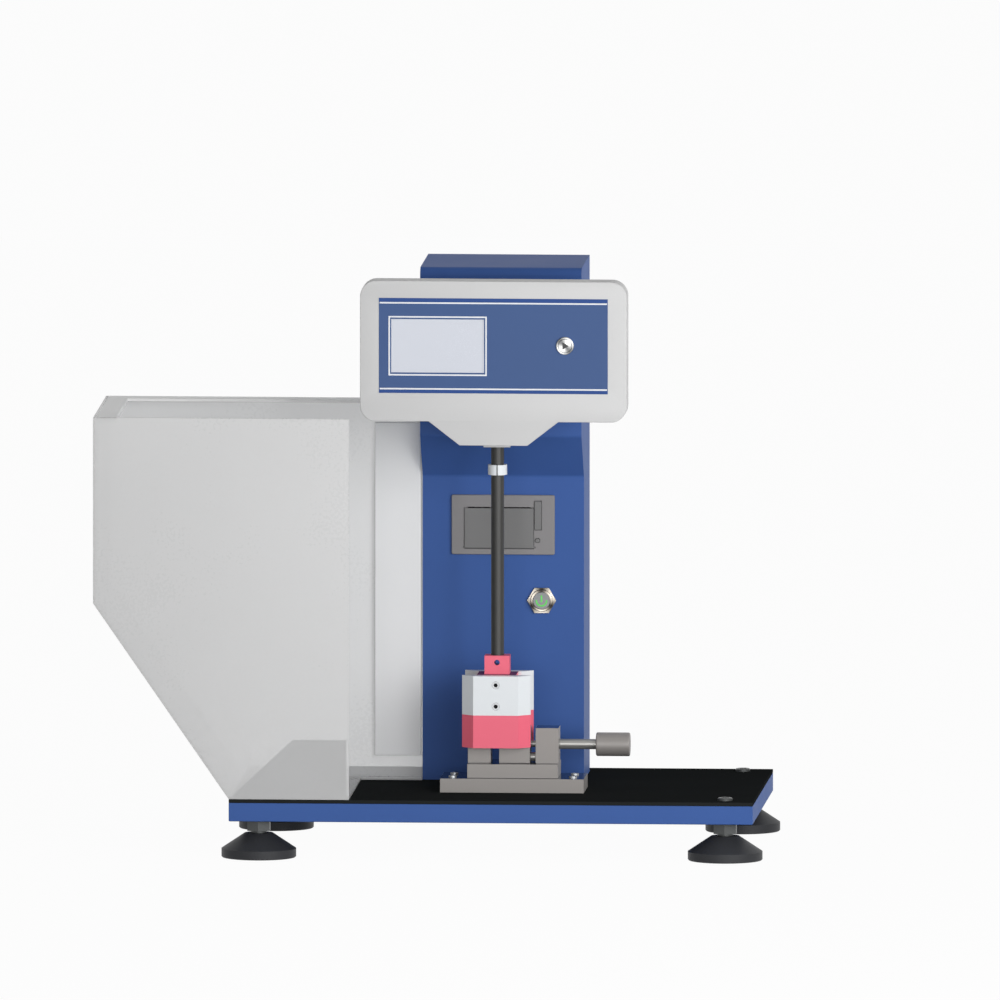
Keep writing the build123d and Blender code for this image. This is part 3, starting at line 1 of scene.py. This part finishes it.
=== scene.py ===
import json
import math
import bmesh
import bpy
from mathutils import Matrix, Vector


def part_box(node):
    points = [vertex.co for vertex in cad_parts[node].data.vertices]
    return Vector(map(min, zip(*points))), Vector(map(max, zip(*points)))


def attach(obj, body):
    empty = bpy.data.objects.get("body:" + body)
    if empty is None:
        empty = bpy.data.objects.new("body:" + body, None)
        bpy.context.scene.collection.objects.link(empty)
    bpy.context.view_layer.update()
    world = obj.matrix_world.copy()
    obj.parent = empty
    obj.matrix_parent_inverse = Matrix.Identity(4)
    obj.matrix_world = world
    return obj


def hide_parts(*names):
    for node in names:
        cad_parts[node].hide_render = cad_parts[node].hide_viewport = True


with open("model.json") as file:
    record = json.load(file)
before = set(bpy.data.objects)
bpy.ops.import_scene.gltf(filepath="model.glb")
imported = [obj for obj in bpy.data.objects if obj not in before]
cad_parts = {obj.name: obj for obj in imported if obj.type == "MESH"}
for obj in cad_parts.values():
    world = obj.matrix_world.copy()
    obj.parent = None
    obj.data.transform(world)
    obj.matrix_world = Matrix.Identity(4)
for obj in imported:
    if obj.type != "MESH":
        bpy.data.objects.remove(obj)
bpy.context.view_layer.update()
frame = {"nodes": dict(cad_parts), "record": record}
NODES = frame["nodes"]
MM = 0.001

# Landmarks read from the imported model, in metres
base_low, base_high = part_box("base_top_plate")
hub_low, hub_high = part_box("pendulum_hub")
plate_low, plate_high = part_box("display_front_plate")
screen_low, screen_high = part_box("screen_module")
BASE_X = (base_low.x + base_high.x) / 2
PIVOT_Z = hub_high.z - (hub_high.x - hub_low.x) / 2
PLATE_X = (plate_low.x + plate_high.x) / 2
SCREEN_X = (screen_low.x + screen_high.x) / 2
SCREEN_Z = (screen_low.z + screen_high.z) / 2

# Display, in metres: the window of the screen, seen in the plate and in the label on it
WINDOW_WIDTH = 0.0997
WINDOW_HEIGHT = 0.0575

# Copies with eased edges, in degrees: what counts as flat, as an edge, and as a crease in the light
FLAT_ANGLE = 0.4
EDGE_ANGLE = 35
CREASE_ANGLE = 50
EASED_SEGMENTS = 2
MERGE_DISTANCE = 1e-6

# Surfaces: the broad unevenness under the grain, and how far the noise counts
BROAD_SCALE = 9
BROAD_DETAIL = 3
FINE_DETAIL = 4
FINE_ROUGHNESS = 0.6
NOISE_LOW = 0.3
NOISE_HIGH = 0.7
RELIEF_STRENGTH = 0.6
ROUGHNESS_SPREAD = 0.06
LEAST_ROUGHNESS = 0.02


# Colours, written as six hex digits
def linear(value):
    value /= 255
    return value / 12.92 if value <= 0.04045 else ((value + 0.055) / 1.055) ** 2.4


def rgb(text):
    return tuple(linear(int(text[i:i + 2], 16)) for i in (0, 2, 4)) + (1.0,)


def scaled(colour, factor):
    return tuple(min(1.0, c * factor) for c in colour[:3]) + (1.0,)


# Shader helpers
def maths(tree, operation, *values):
    """A Math node whose inputs are numbers or the outputs of other nodes."""
    node = tree.nodes.new("ShaderNodeMath")
    node.operation = operation
    for value, socket in zip(values, node.inputs):
        if isinstance(value, (int, float)):
            socket.default_value = value
        else:
            tree.links.new(value, socket)
    return node.outputs[0]


def ranged(tree, value, source, target):
    """The value moved from its source range into the target range."""
    node = tree.nodes.new("ShaderNodeMapRange")
    node.inputs["From Min"].default_value, node.inputs["From Max"].default_value = source
    node.inputs["To Min"].default_value, node.inputs["To Max"].default_value = target
    tree.links.new(value, node.inputs["Value"])
    return node.outputs["Result"]


def noise(tree, vector, scale, detail, roughness=0.5):
    node = tree.nodes.new("ShaderNodeTexNoise")
    node.inputs["Scale"].default_value = scale
    node.inputs["Detail"].default_value = detail
    node.inputs["Roughness"].default_value = roughness
    tree.links.new(vector, node.inputs["Vector"])
    return node.outputs["Fac"]


def blend(tree, value, ends):
    """A colour ramp through (position, colour) at its two ends."""
    node = tree.nodes.new("ShaderNodeValToRGB")
    for element, (position, colour) in zip(node.color_ramp.elements, ends):
        element.position = position
        element.color = colour
    tree.links.new(value, node.inputs["Fac"])
    return node


# Materials
def surface(name, colour, rough=0.5, metallic=0.0, spread=0.05, grain=900, stretch=(1, 1, 1),
            bump=0.02, alpha=1.0, specular=0.5):
    """A painted, moulded or machined surface with uneven colour, roughness and relief."""
    material = bpy.data.materials.new(name)
    material.use_nodes = True
    tree = material.node_tree
    shader = tree.nodes["Principled BSDF"]
    shader.inputs["Metallic"].default_value = metallic
    shader.inputs["Alpha"].default_value = alpha
    shader.inputs["Specular IOR Level"].default_value = specular
    place = tree.nodes.new("ShaderNodeTexCoord").outputs["Object"]
    mapping = tree.nodes.new("ShaderNodeMapping")
    mapping.inputs["Scale"].default_value = stretch
    tree.links.new(place, mapping.inputs["Vector"])
    broad = noise(tree, place, BROAD_SCALE, BROAD_DETAIL)
    fine = noise(tree, mapping.outputs["Vector"], grain, FINE_DETAIL, FINE_ROUGHNESS)
    both = maths(tree, "MULTIPLY_ADD", fine, 0.5, maths(tree, "MULTIPLY", broad, 0.5))
    ends = (
        (NOISE_LOW, scaled(rgb(colour), 1 - spread)),
        (NOISE_HIGH, scaled(rgb(colour), 1 + spread)),
    )
    tree.links.new(blend(tree, both, ends).outputs["Color"], shader.inputs["Base Color"])
    least = max(LEAST_ROUGHNESS, rough - ROUGHNESS_SPREAD)
    most = min(1.0, rough + ROUGHNESS_SPREAD)
    uneven = ranged(tree, both, (NOISE_LOW, NOISE_HIGH), (least, most))
    tree.links.new(uneven, shader.inputs["Roughness"])
    if bump:
        relief = tree.nodes.new("ShaderNodeBump")
        relief.inputs["Strength"].default_value = RELIEF_STRENGTH
        relief.inputs["Distance"].default_value = bump * MM
        tree.links.new(fine, relief.inputs["Height"])
        tree.links.new(relief.outputs["Normal"], shader.inputs["Normal"])
    return material


def glowing(name, colour, strength):
    """A smooth surface that gives a little light of its own."""
    material = surface(name, colour, rough=0.25, spread=0.02, bump=0)
    shader = material.node_tree.nodes["Principled BSDF"]
    shader.inputs["Emission Color"].default_value = rgb(colour)
    shader.inputs["Emission Strength"].default_value = strength
    return material


def clear_sheet(name, colour, alpha, rough):
    """A sheet of clear plastic: a grey glaze that lets part of the light straight through."""
    return surface(name, colour, rough, spread=0.015, grain=300, bump=0, alpha=alpha)


def spun_painted_reflection(name, node, light, dark, lobes, rough):
    """Spun metal, with bright and dark lobes painted about the middle of the button it belongs to:
    a painted reflection.
    """
    low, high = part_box(node)
    material = surface(name, light, rough, metallic=0.5, spread=0.03, grain=1200, bump=0.008)
    tree = material.node_tree
    offset = tree.nodes.new("ShaderNodeVectorMath")
    offset.operation = "SUBTRACT"
    offset.inputs[1].default_value = (low + high) / 2
    place = tree.nodes.new("ShaderNodeTexCoord")
    tree.links.new(place.outputs["Object"], offset.inputs[0])
    split = tree.nodes.new("ShaderNodeSeparateXYZ")
    tree.links.new(offset.outputs["Vector"], split.inputs["Vector"])
    angle = maths(tree, "ARCTAN2", split.outputs["Z"], split.outputs["X"])
    wave = maths(tree, "SINE", maths(tree, "MULTIPLY", angle, lobes))
    share = ranged(tree, wave, (-1, 1), (0, 1))
    ramp = blend(tree, share, ((0, rgb(dark)), (1, rgb(light))))
    tree.links.new(ramp.outputs["Color"], tree.nodes["Principled BSDF"].inputs["Base Color"])
    return material


# Paint
LOOKS = {
    "blue_paint": dict(colour="405F9E", grain=1500, bump=0.03, specular=0.08),
    "black_plate": dict(colour="262828", rough=0.6, spread=0.12, grain=1400, specular=0.0),
    "display_white": dict(colour="CCCCCC", rough=0.38, spread=0.02, bump=0.015, specular=0.25),
    "hammer_white": dict(
        colour="E4E8EB", rough=0.4, spread=0.02, grain=1400, bump=0.015, specular=0.3
    ),
    "hammer_pink": dict(
        colour="EE6A80", rough=0.4, spread=0.03, grain=1400, bump=0.015, specular=0.3
    ),
    # Dark purple for the top of the hammer's web: painted shade
    "web_top_painted_shade": dict(colour="6A3C5C", bump=0, specular=0.1),
    "guard_dark": dict(colour="B4B6B8", rough=0.4, bump=0.01, specular=0.3),
}

# Metal
LOOKS.update({
    "vise_steel": dict(
        colour="8B8784", rough=0.42, metallic=0.15, spread=0.06, grain=700,
        stretch=(1, 9, 9), bump=0.012,
    ),
    # Smoother steel for the upward faces of the vise; its darker colour is a painted reflection
    "polished_steel_painted_reflection": dict(
        colour="5C6068", rough=0.16, metallic=0.95, spread=0.04, stretch=(1, 9, 9), bump=0.004
    ),
    "dark_steel": dict(
        colour="323231", rough=0.38, metallic=0.4, spread=0.08, grain=800,
        stretch=(9, 9, 1), bump=0.01,
    ),
    "bright_steel": dict(
        colour="9A9996", rough=0.32, metallic=0.6, stretch=(1, 8, 8), bump=0.01
    ),
    "stud_steel": dict(
        colour="4A4C4C", rough=0.38, metallic=0.5, spread=0.06, stretch=(1, 1, 6), bump=0.01
    ),
    "screw_steel": dict(
        colour="A9ABAD", rough=0.34, metallic=0.6, spread=0.06, grain=1200, bump=0.01
    ),
    "supply_metal": dict(
        colour="B9BBBD", rough=0.4, metallic=0.6, stretch=(1, 1, 8), bump=0.01
    ),
    "guard_bar": dict(
        colour="ECEDEE", rough=0.45, spread=0.03, stretch=(9, 9, 1), bump=0.01, specular=0.3
    ),
    "cap_grey": dict(colour="969899", rough=0.42, spread=0.03, bump=0.005, specular=0.2),
    # Near-black for the screw sockets of the hammer: painted shade in the recesses
    "socket_painted_shade": dict(colour="16171A", rough=0.6, spread=0.1, bump=0, specular=0.1),
})

# Plastic, rubber, paper and print
LOOKS.update({
    "foot_grey": dict(colour="2C2D30", spread=0.08, grain=1100, bump=0.03, specular=0.25),
    "printer_grey": dict(colour="7E7C7D", grain=1600, bump=0.03),
    "printer_dark": dict(colour="696969", rough=0.46, grain=1600, bump=0.03),
    "board_green": dict(colour="1E5A34", rough=0.4, spread=0.1, bump=0.01),
    "black_plastic": dict(colour="1C1C1D", rough=0.45, spread=0.1),
    "paper_white": dict(colour="EDECE6", rough=0.7, spread=0.03, grain=3000, bump=0.01),
    "roller_rubber": dict(colour="202020", rough=0.7, spread=0.08, bump=0.03),
    "label_blue": dict(colour="475E8B", spread=0.04, grain=2200, bump=0.01, specular=0.12),
    "label_deep": dict(colour="34508C", spread=0.03, bump=0.005, specular=0.12),
    "label_white": dict(colour="E2E4E8", rough=0.4, spread=0.02, bump=0.005),
    "symbol_dark": dict(colour="2A2B2D", bump=0),
})

MATERIALS = {name: surface(name, **look) for name, look in LOOKS.items()}
MATERIALS["screen_glass"] = glowing("screen_glass", "BFC3CD", 0.04)
MATERIALS["symbol_green"] = glowing("symbol_green", "4CB848", 0.35)
MATERIALS["guard_clear"] = clear_sheet("guard_clear", "DCDCDC", 0.6, 0.3)
MATERIALS["guard_back"] = clear_sheet("guard_back", "E4E5E6", 0.5, 0.3)
MATERIALS["guard_rim"] = clear_sheet("guard_rim", "FAFAF9", 0.95, 0.35)
# The bright and dark lobes on the two buttons are a painted reflection
MATERIALS["impact_spun_painted_reflection"] = spun_painted_reflection("impact_spun_painted_reflection", "impact_button_cap", "E0E0DE", "5C5D5E", 2, 0.34)
MATERIALS["power_spun_painted_reflection"] = spun_painted_reflection("power_spun_painted_reflection", "power_button_cap", "D8CFC0", "241E18", 3, 0.3)

# What each node is finished with: its slot in the record, or a look of its own
RECORD_SLOT = {s["node"]: s["material_slot"] for s in frame["record"]["subparts"]}
BODY_OF = {n: b for b, ns in frame["record"]["behaviour"]["bodies"].items() for n in ns}
FINISH_OF = dict(RECORD_SLOT)
for node in NODES:
    if node.startswith("foot_stud"):
        FINISH_OF[node] = "stud_steel"
    # The impact button gets spun metal with a painted reflection
    if node.startswith("impact_button"):
        FINISH_OF[node] = "impact_spun_painted_reflection"
# The power button housing gets spun metal with a painted reflection
FINISH_OF["power_button_housing"] = "power_spun_painted_reflection"
FINISH_OF["power_button_cap"] = "cap_grey"
FINISH_OF["guard_back_panel"] = "guard_back"
FINISH_OF["guard_top_rim"] = "guard_rim"
for node, thing in NODES.items():
    thing.data.materials.clear()
    thing.data.materials.append(MATERIALS[FINISH_OF[node]])


# Mesh helpers
def finish_mesh(bm, name, material, body, crease=20):
    """Makes a piece of the mesh, for a body and a slot. The crease is in degrees."""
    mesh = bpy.data.meshes.new(name)
    bmesh.ops.recalc_face_normals(bm, faces=bm.faces)
    bm.to_mesh(mesh)
    bm.free()
    mesh.materials.append(MATERIALS[material])
    mesh.shade_smooth()
    mesh.set_sharp_from_angle(angle=math.radians(crease))
    thing = bpy.data.objects.new(name, mesh)
    bpy.context.scene.collection.objects.link(thing)
    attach(thing, body)
    return thing


def soften(node, width):
    """Stands a copy of the node with eased edges in its place. The width is in millimetres."""
    source = NODES[node]
    bm = bmesh.new()
    bm.from_mesh(source.data)
    bmesh.ops.remove_doubles(bm, verts=bm.verts, dist=MERGE_DISTANCE)
    bmesh.ops.dissolve_limit(
        bm, angle_limit=math.radians(FLAT_ANGLE), verts=bm.verts, edges=bm.edges,
        delimit={"NORMAL"},
    )
    limit = math.radians(EDGE_ANGLE)
    sharp = [e for e in bm.edges if len(e.link_faces) == 2 and e.calc_face_angle(0) > limit]
    bmesh.ops.bevel(
        bm, geom=sharp, offset=width * MM, segments=EASED_SEGMENTS, profile=0.5,
        affect="EDGES", clamp_overlap=True,
    )
    mesh = bpy.data.meshes.new(node + "_eased")
    bm.to_mesh(mesh)
    bm.free()
    mesh.materials.append(MATERIALS[FINISH_OF[node]])
    mesh.shade_smooth()
    mesh.set_sharp_from_angle(angle=math.radians(CREASE_ANGLE))
    thing = bpy.data.objects.new(node + "_eased", mesh)
    bpy.context.scene.collection.objects.link(thing)
    weights = thing.modifiers.new("normals", "WEIGHTED_NORMAL")
    weights.keep_sharp = True
    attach(thing, BODY_OF[node])
    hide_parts(node)
    return thing


def shade_faces(thing, material, chosen):
    """Gives the chosen faces of a piece a second material."""
    thing.data.materials.append(MATERIALS[material])
    for face in thing.data.polygons:
        if chosen(face):
            face.material_index = len(thing.data.materials) - 1


def slab(bm, x0, x1, y0, y1, z0, z1):
    """A closed box added to the mesh, in metres."""
    corners = [
        bm.verts.new((x, y, z)) for x in (x0, x1) for y in (y0, y1) for z in (z0, z1)
    ]
    quads = ((0, 1, 3, 2), (4, 6, 7, 5), (0, 4, 5, 1), (2, 3, 7, 6), (0, 2, 6, 4), (1, 5, 7, 3))
    for quad in quads:
        bm.faces.new([corners[i] for i in quad])


def prism(bm, points, y0, y1):
    """A closed prism whose outline is given in X and Z, from y0 back to y1."""
    front = [bm.verts.new((x, y0, z)) for x, z in points]
    back = [bm.verts.new((x, y1, z)) for x, z in points]
    bm.faces.new(front)
    bm.faces.new(list(reversed(back)))
    count = len(points)
    for i in range(count):
        j = (i + 1) % count
        bm.faces.new((front[j], front[i], back[i], back[j]))


def disc_points(x, z, radius, count=48, start=0.0, turn=2 * math.pi):
    """Points round a circle, or along an arc, which has one point more than steps."""
    steps = count if abs(turn - 2 * math.pi) < 1e-6 else count + 1
    angles = [start + turn * i / count for i in range(steps)]
    return [(x + radius * math.cos(a), z + radius * math.sin(a)) for a in angles]


# Nodes with eased edges, and how wide the easing is in millimetres
EASED = {
    "base_slab": 0.6, "base_top_plate": 0.5, "cabinet_shell": 0.8, "vise_plate": 0.5,
    "vise_block": 0.5, "fixed_jaw": 0.5, "screw_pillar": 0.5, "moving_jaw": 0.5,
    "hammer_core": 0.4, "hammer_weights": 0.4, "pendulum_hub": 0.5, "catch_collar": 0.3,
    "printer_housing": 0.3, "printer_door": 0.25, "guard_front_panel": 0.4,
    "guard_back_panel": 0.4, "guard_side_sheet": 0.3, "guard_mounting_bar": 0.5,
    "power_button_housing": 0.25, "impact_button_housing": 0.2, "guard_top_rim": 0.3,
    "hammer_screws": 0.15,
}
eased = {node: soften(node, width) for node, width in EASED.items()}


# The hammer's screw sockets and the top of its web, given darker materials as painted shade
def hammer_shading():
    low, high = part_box("hammer_screws")
    middle = (low.x + high.x) / 2
    head_radius = 4.25 * MM
    socket_radius = 2.1 * MM
    rim_depth = 0.3 * MM
    upward = 0.9
    rows = (low.z + head_radius, high.z - head_radius)

    def in_socket(face):
        spot = face.center
        reach = min(math.hypot(spot.x - middle, spot.z - z) for z in rows)
        return reach < socket_radius and low.y + rim_depth < spot.y < high.y - rim_depth

    # The faces deep inside each socket get the dark material: painted shade
    shade_faces(eased["hammer_screws"], "socket_painted_shade", in_socket)
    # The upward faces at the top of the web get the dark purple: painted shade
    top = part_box("hammer_weights")[1].z
    shade_faces(
        eased["hammer_core"], "web_top_painted_shade",
        lambda face: face.normal.z > upward and abs(face.center.z - top) < MM,
    )


# The upward faces of the vise get a smoother, more metallic steel, darker in colour as a painted
# reflection
def vise_shading():
    upward = 0.95
    for node in ("vise_plate", "vise_block", "fixed_jaw", "screw_pillar", "moving_jaw"):
        shade_faces(eased[node], "polished_steel_painted_reflection", lambda face: face.normal.z > upward)


# Display plate with a crisp edge, its window and the hole of its button
def plate_outline():
    corner = 0.017
    corner_steps = 12
    height = 0.151
    skirt_top = 0.139 / 2
    skirt_bottom = 0.0726 / 2
    bottom = plate_high.z - height
    top = plate_high.z - corner
    left, right = plate_low.x + corner, plate_high.x - corner
    corners = ((right, top, 0), (left, top, 90), (left, bottom + corner, 180))
    points = []
    for x, z, start in corners:
        points += disc_points(x, z, corner, corner_steps, math.radians(start), math.pi / 2)
    points += [
        (PLATE_X - skirt_top, bottom), (PLATE_X - skirt_bottom, plate_low.z),
        (PLATE_X + skirt_bottom, plate_low.z), (PLATE_X + skirt_top, bottom),
    ]
    start = math.radians(270)
    return points + disc_points(right, bottom + corner, corner, corner_steps, start, math.pi / 2)


def display_plate():
    edge = 0.0008
    hole_radius = 0.008
    w, h = WINDOW_WIDTH / 2, WINDOW_HEIGHT / 2
    window = [
        (SCREEN_X - w, SCREEN_Z - h), (SCREEN_X + w, SCREEN_Z - h),
        (SCREEN_X + w, SCREEN_Z + h), (SCREEN_X - w, SCREEN_Z + h),
    ]
    low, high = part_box("impact_button_cap")
    hole = disc_points((low.x + high.x) / 2, (low.z + high.z) / 2, hole_radius)
    curve = bpy.data.curves.new("display_outline", "CURVE")
    curve.dimensions = "2D"
    curve.fill_mode = "BOTH"
    curve.extrude = (plate_high.y - plate_low.y) / 2 - edge
    curve.bevel_depth = edge
    curve.bevel_resolution = 2
    curve.offset = -edge
    for points in (plate_outline(), window, hole):
        spline = curve.splines.new("POLY")
        spline.points.add(len(points) - 1)
        for point, (x, z) in zip(spline.points, points):
            point.co = (x, z, 0, 1)
        spline.use_cyclic_u = True
    drawn = bpy.data.objects.new("display_outline", curve)
    bpy.context.scene.collection.objects.link(drawn)
    mesh = bpy.data.meshes.new_from_object(drawn)
    bpy.data.objects.remove(drawn)
    y = (plate_low.y + plate_high.y) / 2
    for vert in mesh.vertices:
        vert.co = (vert.co.x, y - vert.co.z, vert.co.y)
    bm = bmesh.new()
    bm.from_mesh(mesh)
    bmesh.ops.remove_doubles(bm, verts=bm.verts, dist=MERGE_DISTANCE)
    plate = finish_mesh(bm, "display_plate", "display_white", "frame", crease=30)
    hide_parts("display_front_plate")


# Display label: a thin sheet with a window, its edge bands, and its lines
def label():
    half = 0.1227
    skin = 0.00035
    ink = 0.00012
    low_above_pivot, high_above_pivot = 0.0087, 0.1109
    low, high = PIVOT_Z + low_above_pivot, PIVOT_Z + high_above_pivot
    front = plate_low.y
    face = front - skin
    w, h = WINDOW_WIDTH / 2, WINDOW_HEIGHT / 2
    columns = (PLATE_X - half, SCREEN_X - w, SCREEN_X + w, PLATE_X + half)
    rows = (low, SCREEN_Z - h, SCREEN_Z + h, high)

    bm = bmesh.new()
    verts = {}
    for depth, y in enumerate((face, front)):
        for i, x in enumerate(columns):
            for j, z in enumerate(rows):
                verts[depth, i, j] = bm.verts.new((x, y, z))
    for i in range(3):
        for j in range(3):
            if (i, j) == (1, 1):
                continue
            quad = ((i, j), (i + 1, j), (i + 1, j + 1), (i, j + 1))
            for depth in (0, 1):
                bm.faces.new([verts[depth, a, b] for a, b in quad])
    edges = []
    for i in range(3):
        for j in (0, 3):
            edges += [((i, j), (i + 1, j)), ((j, i), (j, i + 1))]
    edges += [((1, 1), (2, 1)), ((1, 2), (2, 2)), ((1, 1), (1, 2)), ((2, 1), (2, 2))]
    for a, b in edges:
        bm.faces.new((verts[0, *a], verts[0, *b], verts[1, *b], verts[1, *a]))
    finish_mesh(bm, "display_label", "label_blue", "frame")

    top_band, low_band = 0.0040, 0.0034
    bm = bmesh.new()
    for z0, z1 in ((high - top_band, high), (low, low + low_band)):
        slab(bm, PLATE_X - half, PLATE_X + half, face - ink, face, z0, z1)
    finish_mesh(bm, "label_bands", "label_deep", "frame")

    top_line, low_line = 0.0052, 0.0046
    inset, half_line = 0.0008, 0.0008
    start, end = PLATE_X - half + inset, PLATE_X + half - inset
    bm = bmesh.new()
    for z in (high - top_line, low + low_line):
        slab(bm, start, end, face - ink, face, z - half_line, z + half_line)
    line = 0.0016
    fw, fh = 0.1054 / 2, 0.0640 / 2
    left, right = SCREEN_X - fw, SCREEN_X + fw
    bottom, top = SCREEN_Z - fh, SCREEN_Z + fh
    slab(bm, left, right, face - ink, face, top - line, top)
    slab(bm, left, right, face - ink, face, bottom, bottom + line)
    slab(bm, left, left + line, face - ink, face, bottom + line, top - line)
    slab(bm, right - line, right, face - ink, face, bottom + line, top - line)
    finish_mesh(bm, "label_lines", "label_white", "frame")


# Marks on the two push buttons
def impact_mark():
    radius = 0.0046
    shift = 0.0004
    ink = 0.00015
    corners = 3
    low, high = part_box("impact_button_cap")
    x, z = (low.x + high.x) / 2, (low.z + high.z) / 2
    bm = bmesh.new()
    prism(bm, disc_points(x - shift, z, radius, corners), low.y - ink, low.y)
    finish_mesh(bm, "impact_mark", "symbol_dark", "impact_button")


def power_mark():
    """The mark stands 0.1 mm in front of its cap."""
    front_ahead, back_ahead = 0.00024, 0.0001
    outer_radius, inner_radius = 0.0062, 0.0046
    half_stem, stem_low, stem_high = 0.0009, 0.0014, 0.0058
    start, turn = math.radians(172), math.radians(196)
    steps = 36
    low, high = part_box("power_button_cap")
    x, z = (low.x + high.x) / 2, (low.z + high.z) / 2
    front, back = low.y - front_ahead, low.y - back_ahead
    bm = bmesh.new()
    outer = disc_points(x, z, outer_radius, steps, start, turn)
    inner = disc_points(x, z, inner_radius, steps, start, turn)
    prism(bm, outer + list(reversed(inner)), front, back)
    slab(bm, x - half_stem, x + half_stem, front, back, z - stem_low, z + stem_high)
    finish_mesh(bm, "power_mark", "symbol_green", "power_button")


# Stage: a pale background, which the camera, gloss and clear sheets see
def background_rays(tree, share):
    path = tree.nodes.new("ShaderNodeLightPath").outputs
    seen = path["Is Camera Ray"]
    for kind in ("Is Glossy Ray", "Is Transmission Ray"):
        seen = maths(tree, "MAXIMUM", seen, path[kind])
    return maths(tree, "MULTIPLY", seen, share)


def mix_by_rays(tree, share, plain, background, surface_socket):
    mix = tree.nodes.new("ShaderNodeMixShader")
    tree.links.new(background_rays(tree, share), mix.inputs["Fac"])
    tree.links.new(plain.outputs[0], mix.inputs[1])
    tree.links.new(background.outputs[0], mix.inputs[2])
    tree.links.new(mix.outputs[0], surface_socket)


def studio_light():
    """Soft light from all round, brighter from above and from the right."""
    pale = 0.970
    left_strength, right_strength = 0.14, 0.55
    world = bpy.data.worlds.new("studio")
    bpy.context.scene.world = world
    world.use_nodes = True
    tree = world.node_tree
    tree.nodes.clear()
    out = tree.nodes.new("ShaderNodeOutputWorld")
    seen = tree.nodes.new("ShaderNodeBackground")
    seen.inputs["Color"].default_value = (pale, pale, pale, 1)
    light = tree.nodes.new("ShaderNodeBackground")
    place = tree.nodes.new("ShaderNodeTexCoord")
    split = tree.nodes.new("ShaderNodeSeparateXYZ")
    tree.links.new(place.outputs["Generated"], split.inputs["Vector"])
    upward = ranged(tree, split.outputs["Z"], (-1, 1), (0, 1))
    below, above = (0.55, 0.55, 0.55, 1), (0.78, 0.79, 0.81, 1)
    ramp = blend(tree, upward, ((0.0, below), (1.0, above)))
    for position, value in ((0.45, 0.62), (0.56, 0.72), (0.72, 0.6)):
        element = ramp.color_ramp.elements.new(position)
        element.color = (value, value, value, 1)
    tree.links.new(ramp.outputs["Color"], light.inputs["Color"])
    strength = ranged(tree, split.outputs["X"], (-1, 1), (left_strength, right_strength))
    tree.links.new(strength, light.inputs["Strength"])
    mix_by_rays(tree, 1.0, light, seen, out.inputs["Surface"])


def studio_floor():
    reach = 6.0
    height = -0.0002
    grey = 0.55
    share = 0.965
    material = bpy.data.materials.new("floor_white")
    material.use_nodes = True
    tree = material.node_tree
    shader = tree.nodes["Principled BSDF"]
    shader.inputs["Base Color"].default_value = (grey, grey, grey, 1)
    shader.inputs["Roughness"].default_value = 0.9
    shader.inputs["Specular IOR Level"].default_value = 0.0
    emit = tree.nodes.new("ShaderNodeEmission")
    emit.inputs["Color"].default_value = (1, 1, 1, 1)
    emit.inputs["Strength"].default_value = 1.0
    mix_by_rays(tree, share, shader, emit, tree.nodes["Material Output"].inputs["Surface"])
    bm = bmesh.new()
    corners = ((-reach, -reach), (reach, -reach), (reach, reach), (-reach, reach))
    bm.faces.new([bm.verts.new((x, y, height)) for x, y in corners])
    mesh = bpy.data.meshes.new("floor")
    bm.to_mesh(mesh)
    bm.free()
    mesh.materials.append(material)
    floor = bpy.data.objects.new("floor", mesh)
    bpy.context.scene.collection.objects.link(floor)


def lamp(name, where, size, power):
    """A soft rectangular lamp aimed at the middle of the object, power in watts."""
    aim_height = 0.3
    data = bpy.data.lights.new(name, "AREA")
    data.shape = "RECTANGLE"
    data.size, data.size_y = size
    data.energy = power
    thing = bpy.data.objects.new(name, data)
    bpy.context.scene.collection.objects.link(thing)
    thing.location = where
    aim = Vector((0.0, 0.0, aim_height)) - Vector(where)
    thing.rotation_euler = aim.to_track_quat("-Z", "Y").to_euler()


def photo_camera():
    """A parallel view from a little above and a little to the right of the front."""
    view_width = 1.07
    right_angle, down_angle = math.radians(3.67), math.radians(6.13)
    target = Vector((BASE_X + 0.0026, -0.0544, 0.3756))
    distance = 3.0
    data = bpy.data.cameras.new("camera")
    data.type = "ORTHO"
    data.ortho_scale = view_width
    camera = bpy.data.objects.new("camera", data)
    bpy.context.scene.collection.objects.link(camera)
    back = Vector((
        math.sin(right_angle) * math.cos(down_angle),
        -math.cos(right_angle) * math.cos(down_angle),
        math.sin(down_angle),
    ))
    camera.location = target + back * distance
    camera.rotation_euler = (-back).to_track_quat("-Z", "Y").to_euler()
    data.clip_end = 20
    bpy.context.scene.camera = camera


hammer_shading()
vise_shading()
display_plate()
label()
impact_mark()
power_mark()
studio_light()
studio_floor()
lamp("key_right", (2.1, -2.4, 1.0), (1.8, 1.4), 55)
lamp("fill_left", (-2.4, -2.2, 0.8), (1.6, 1.6), 2)
lamp("front_low", (0.6, -3.1, 0.45), (2.6, 1.0), 35)
photo_camera()
bpy.context.scene.view_settings.view_transform = "Standard"
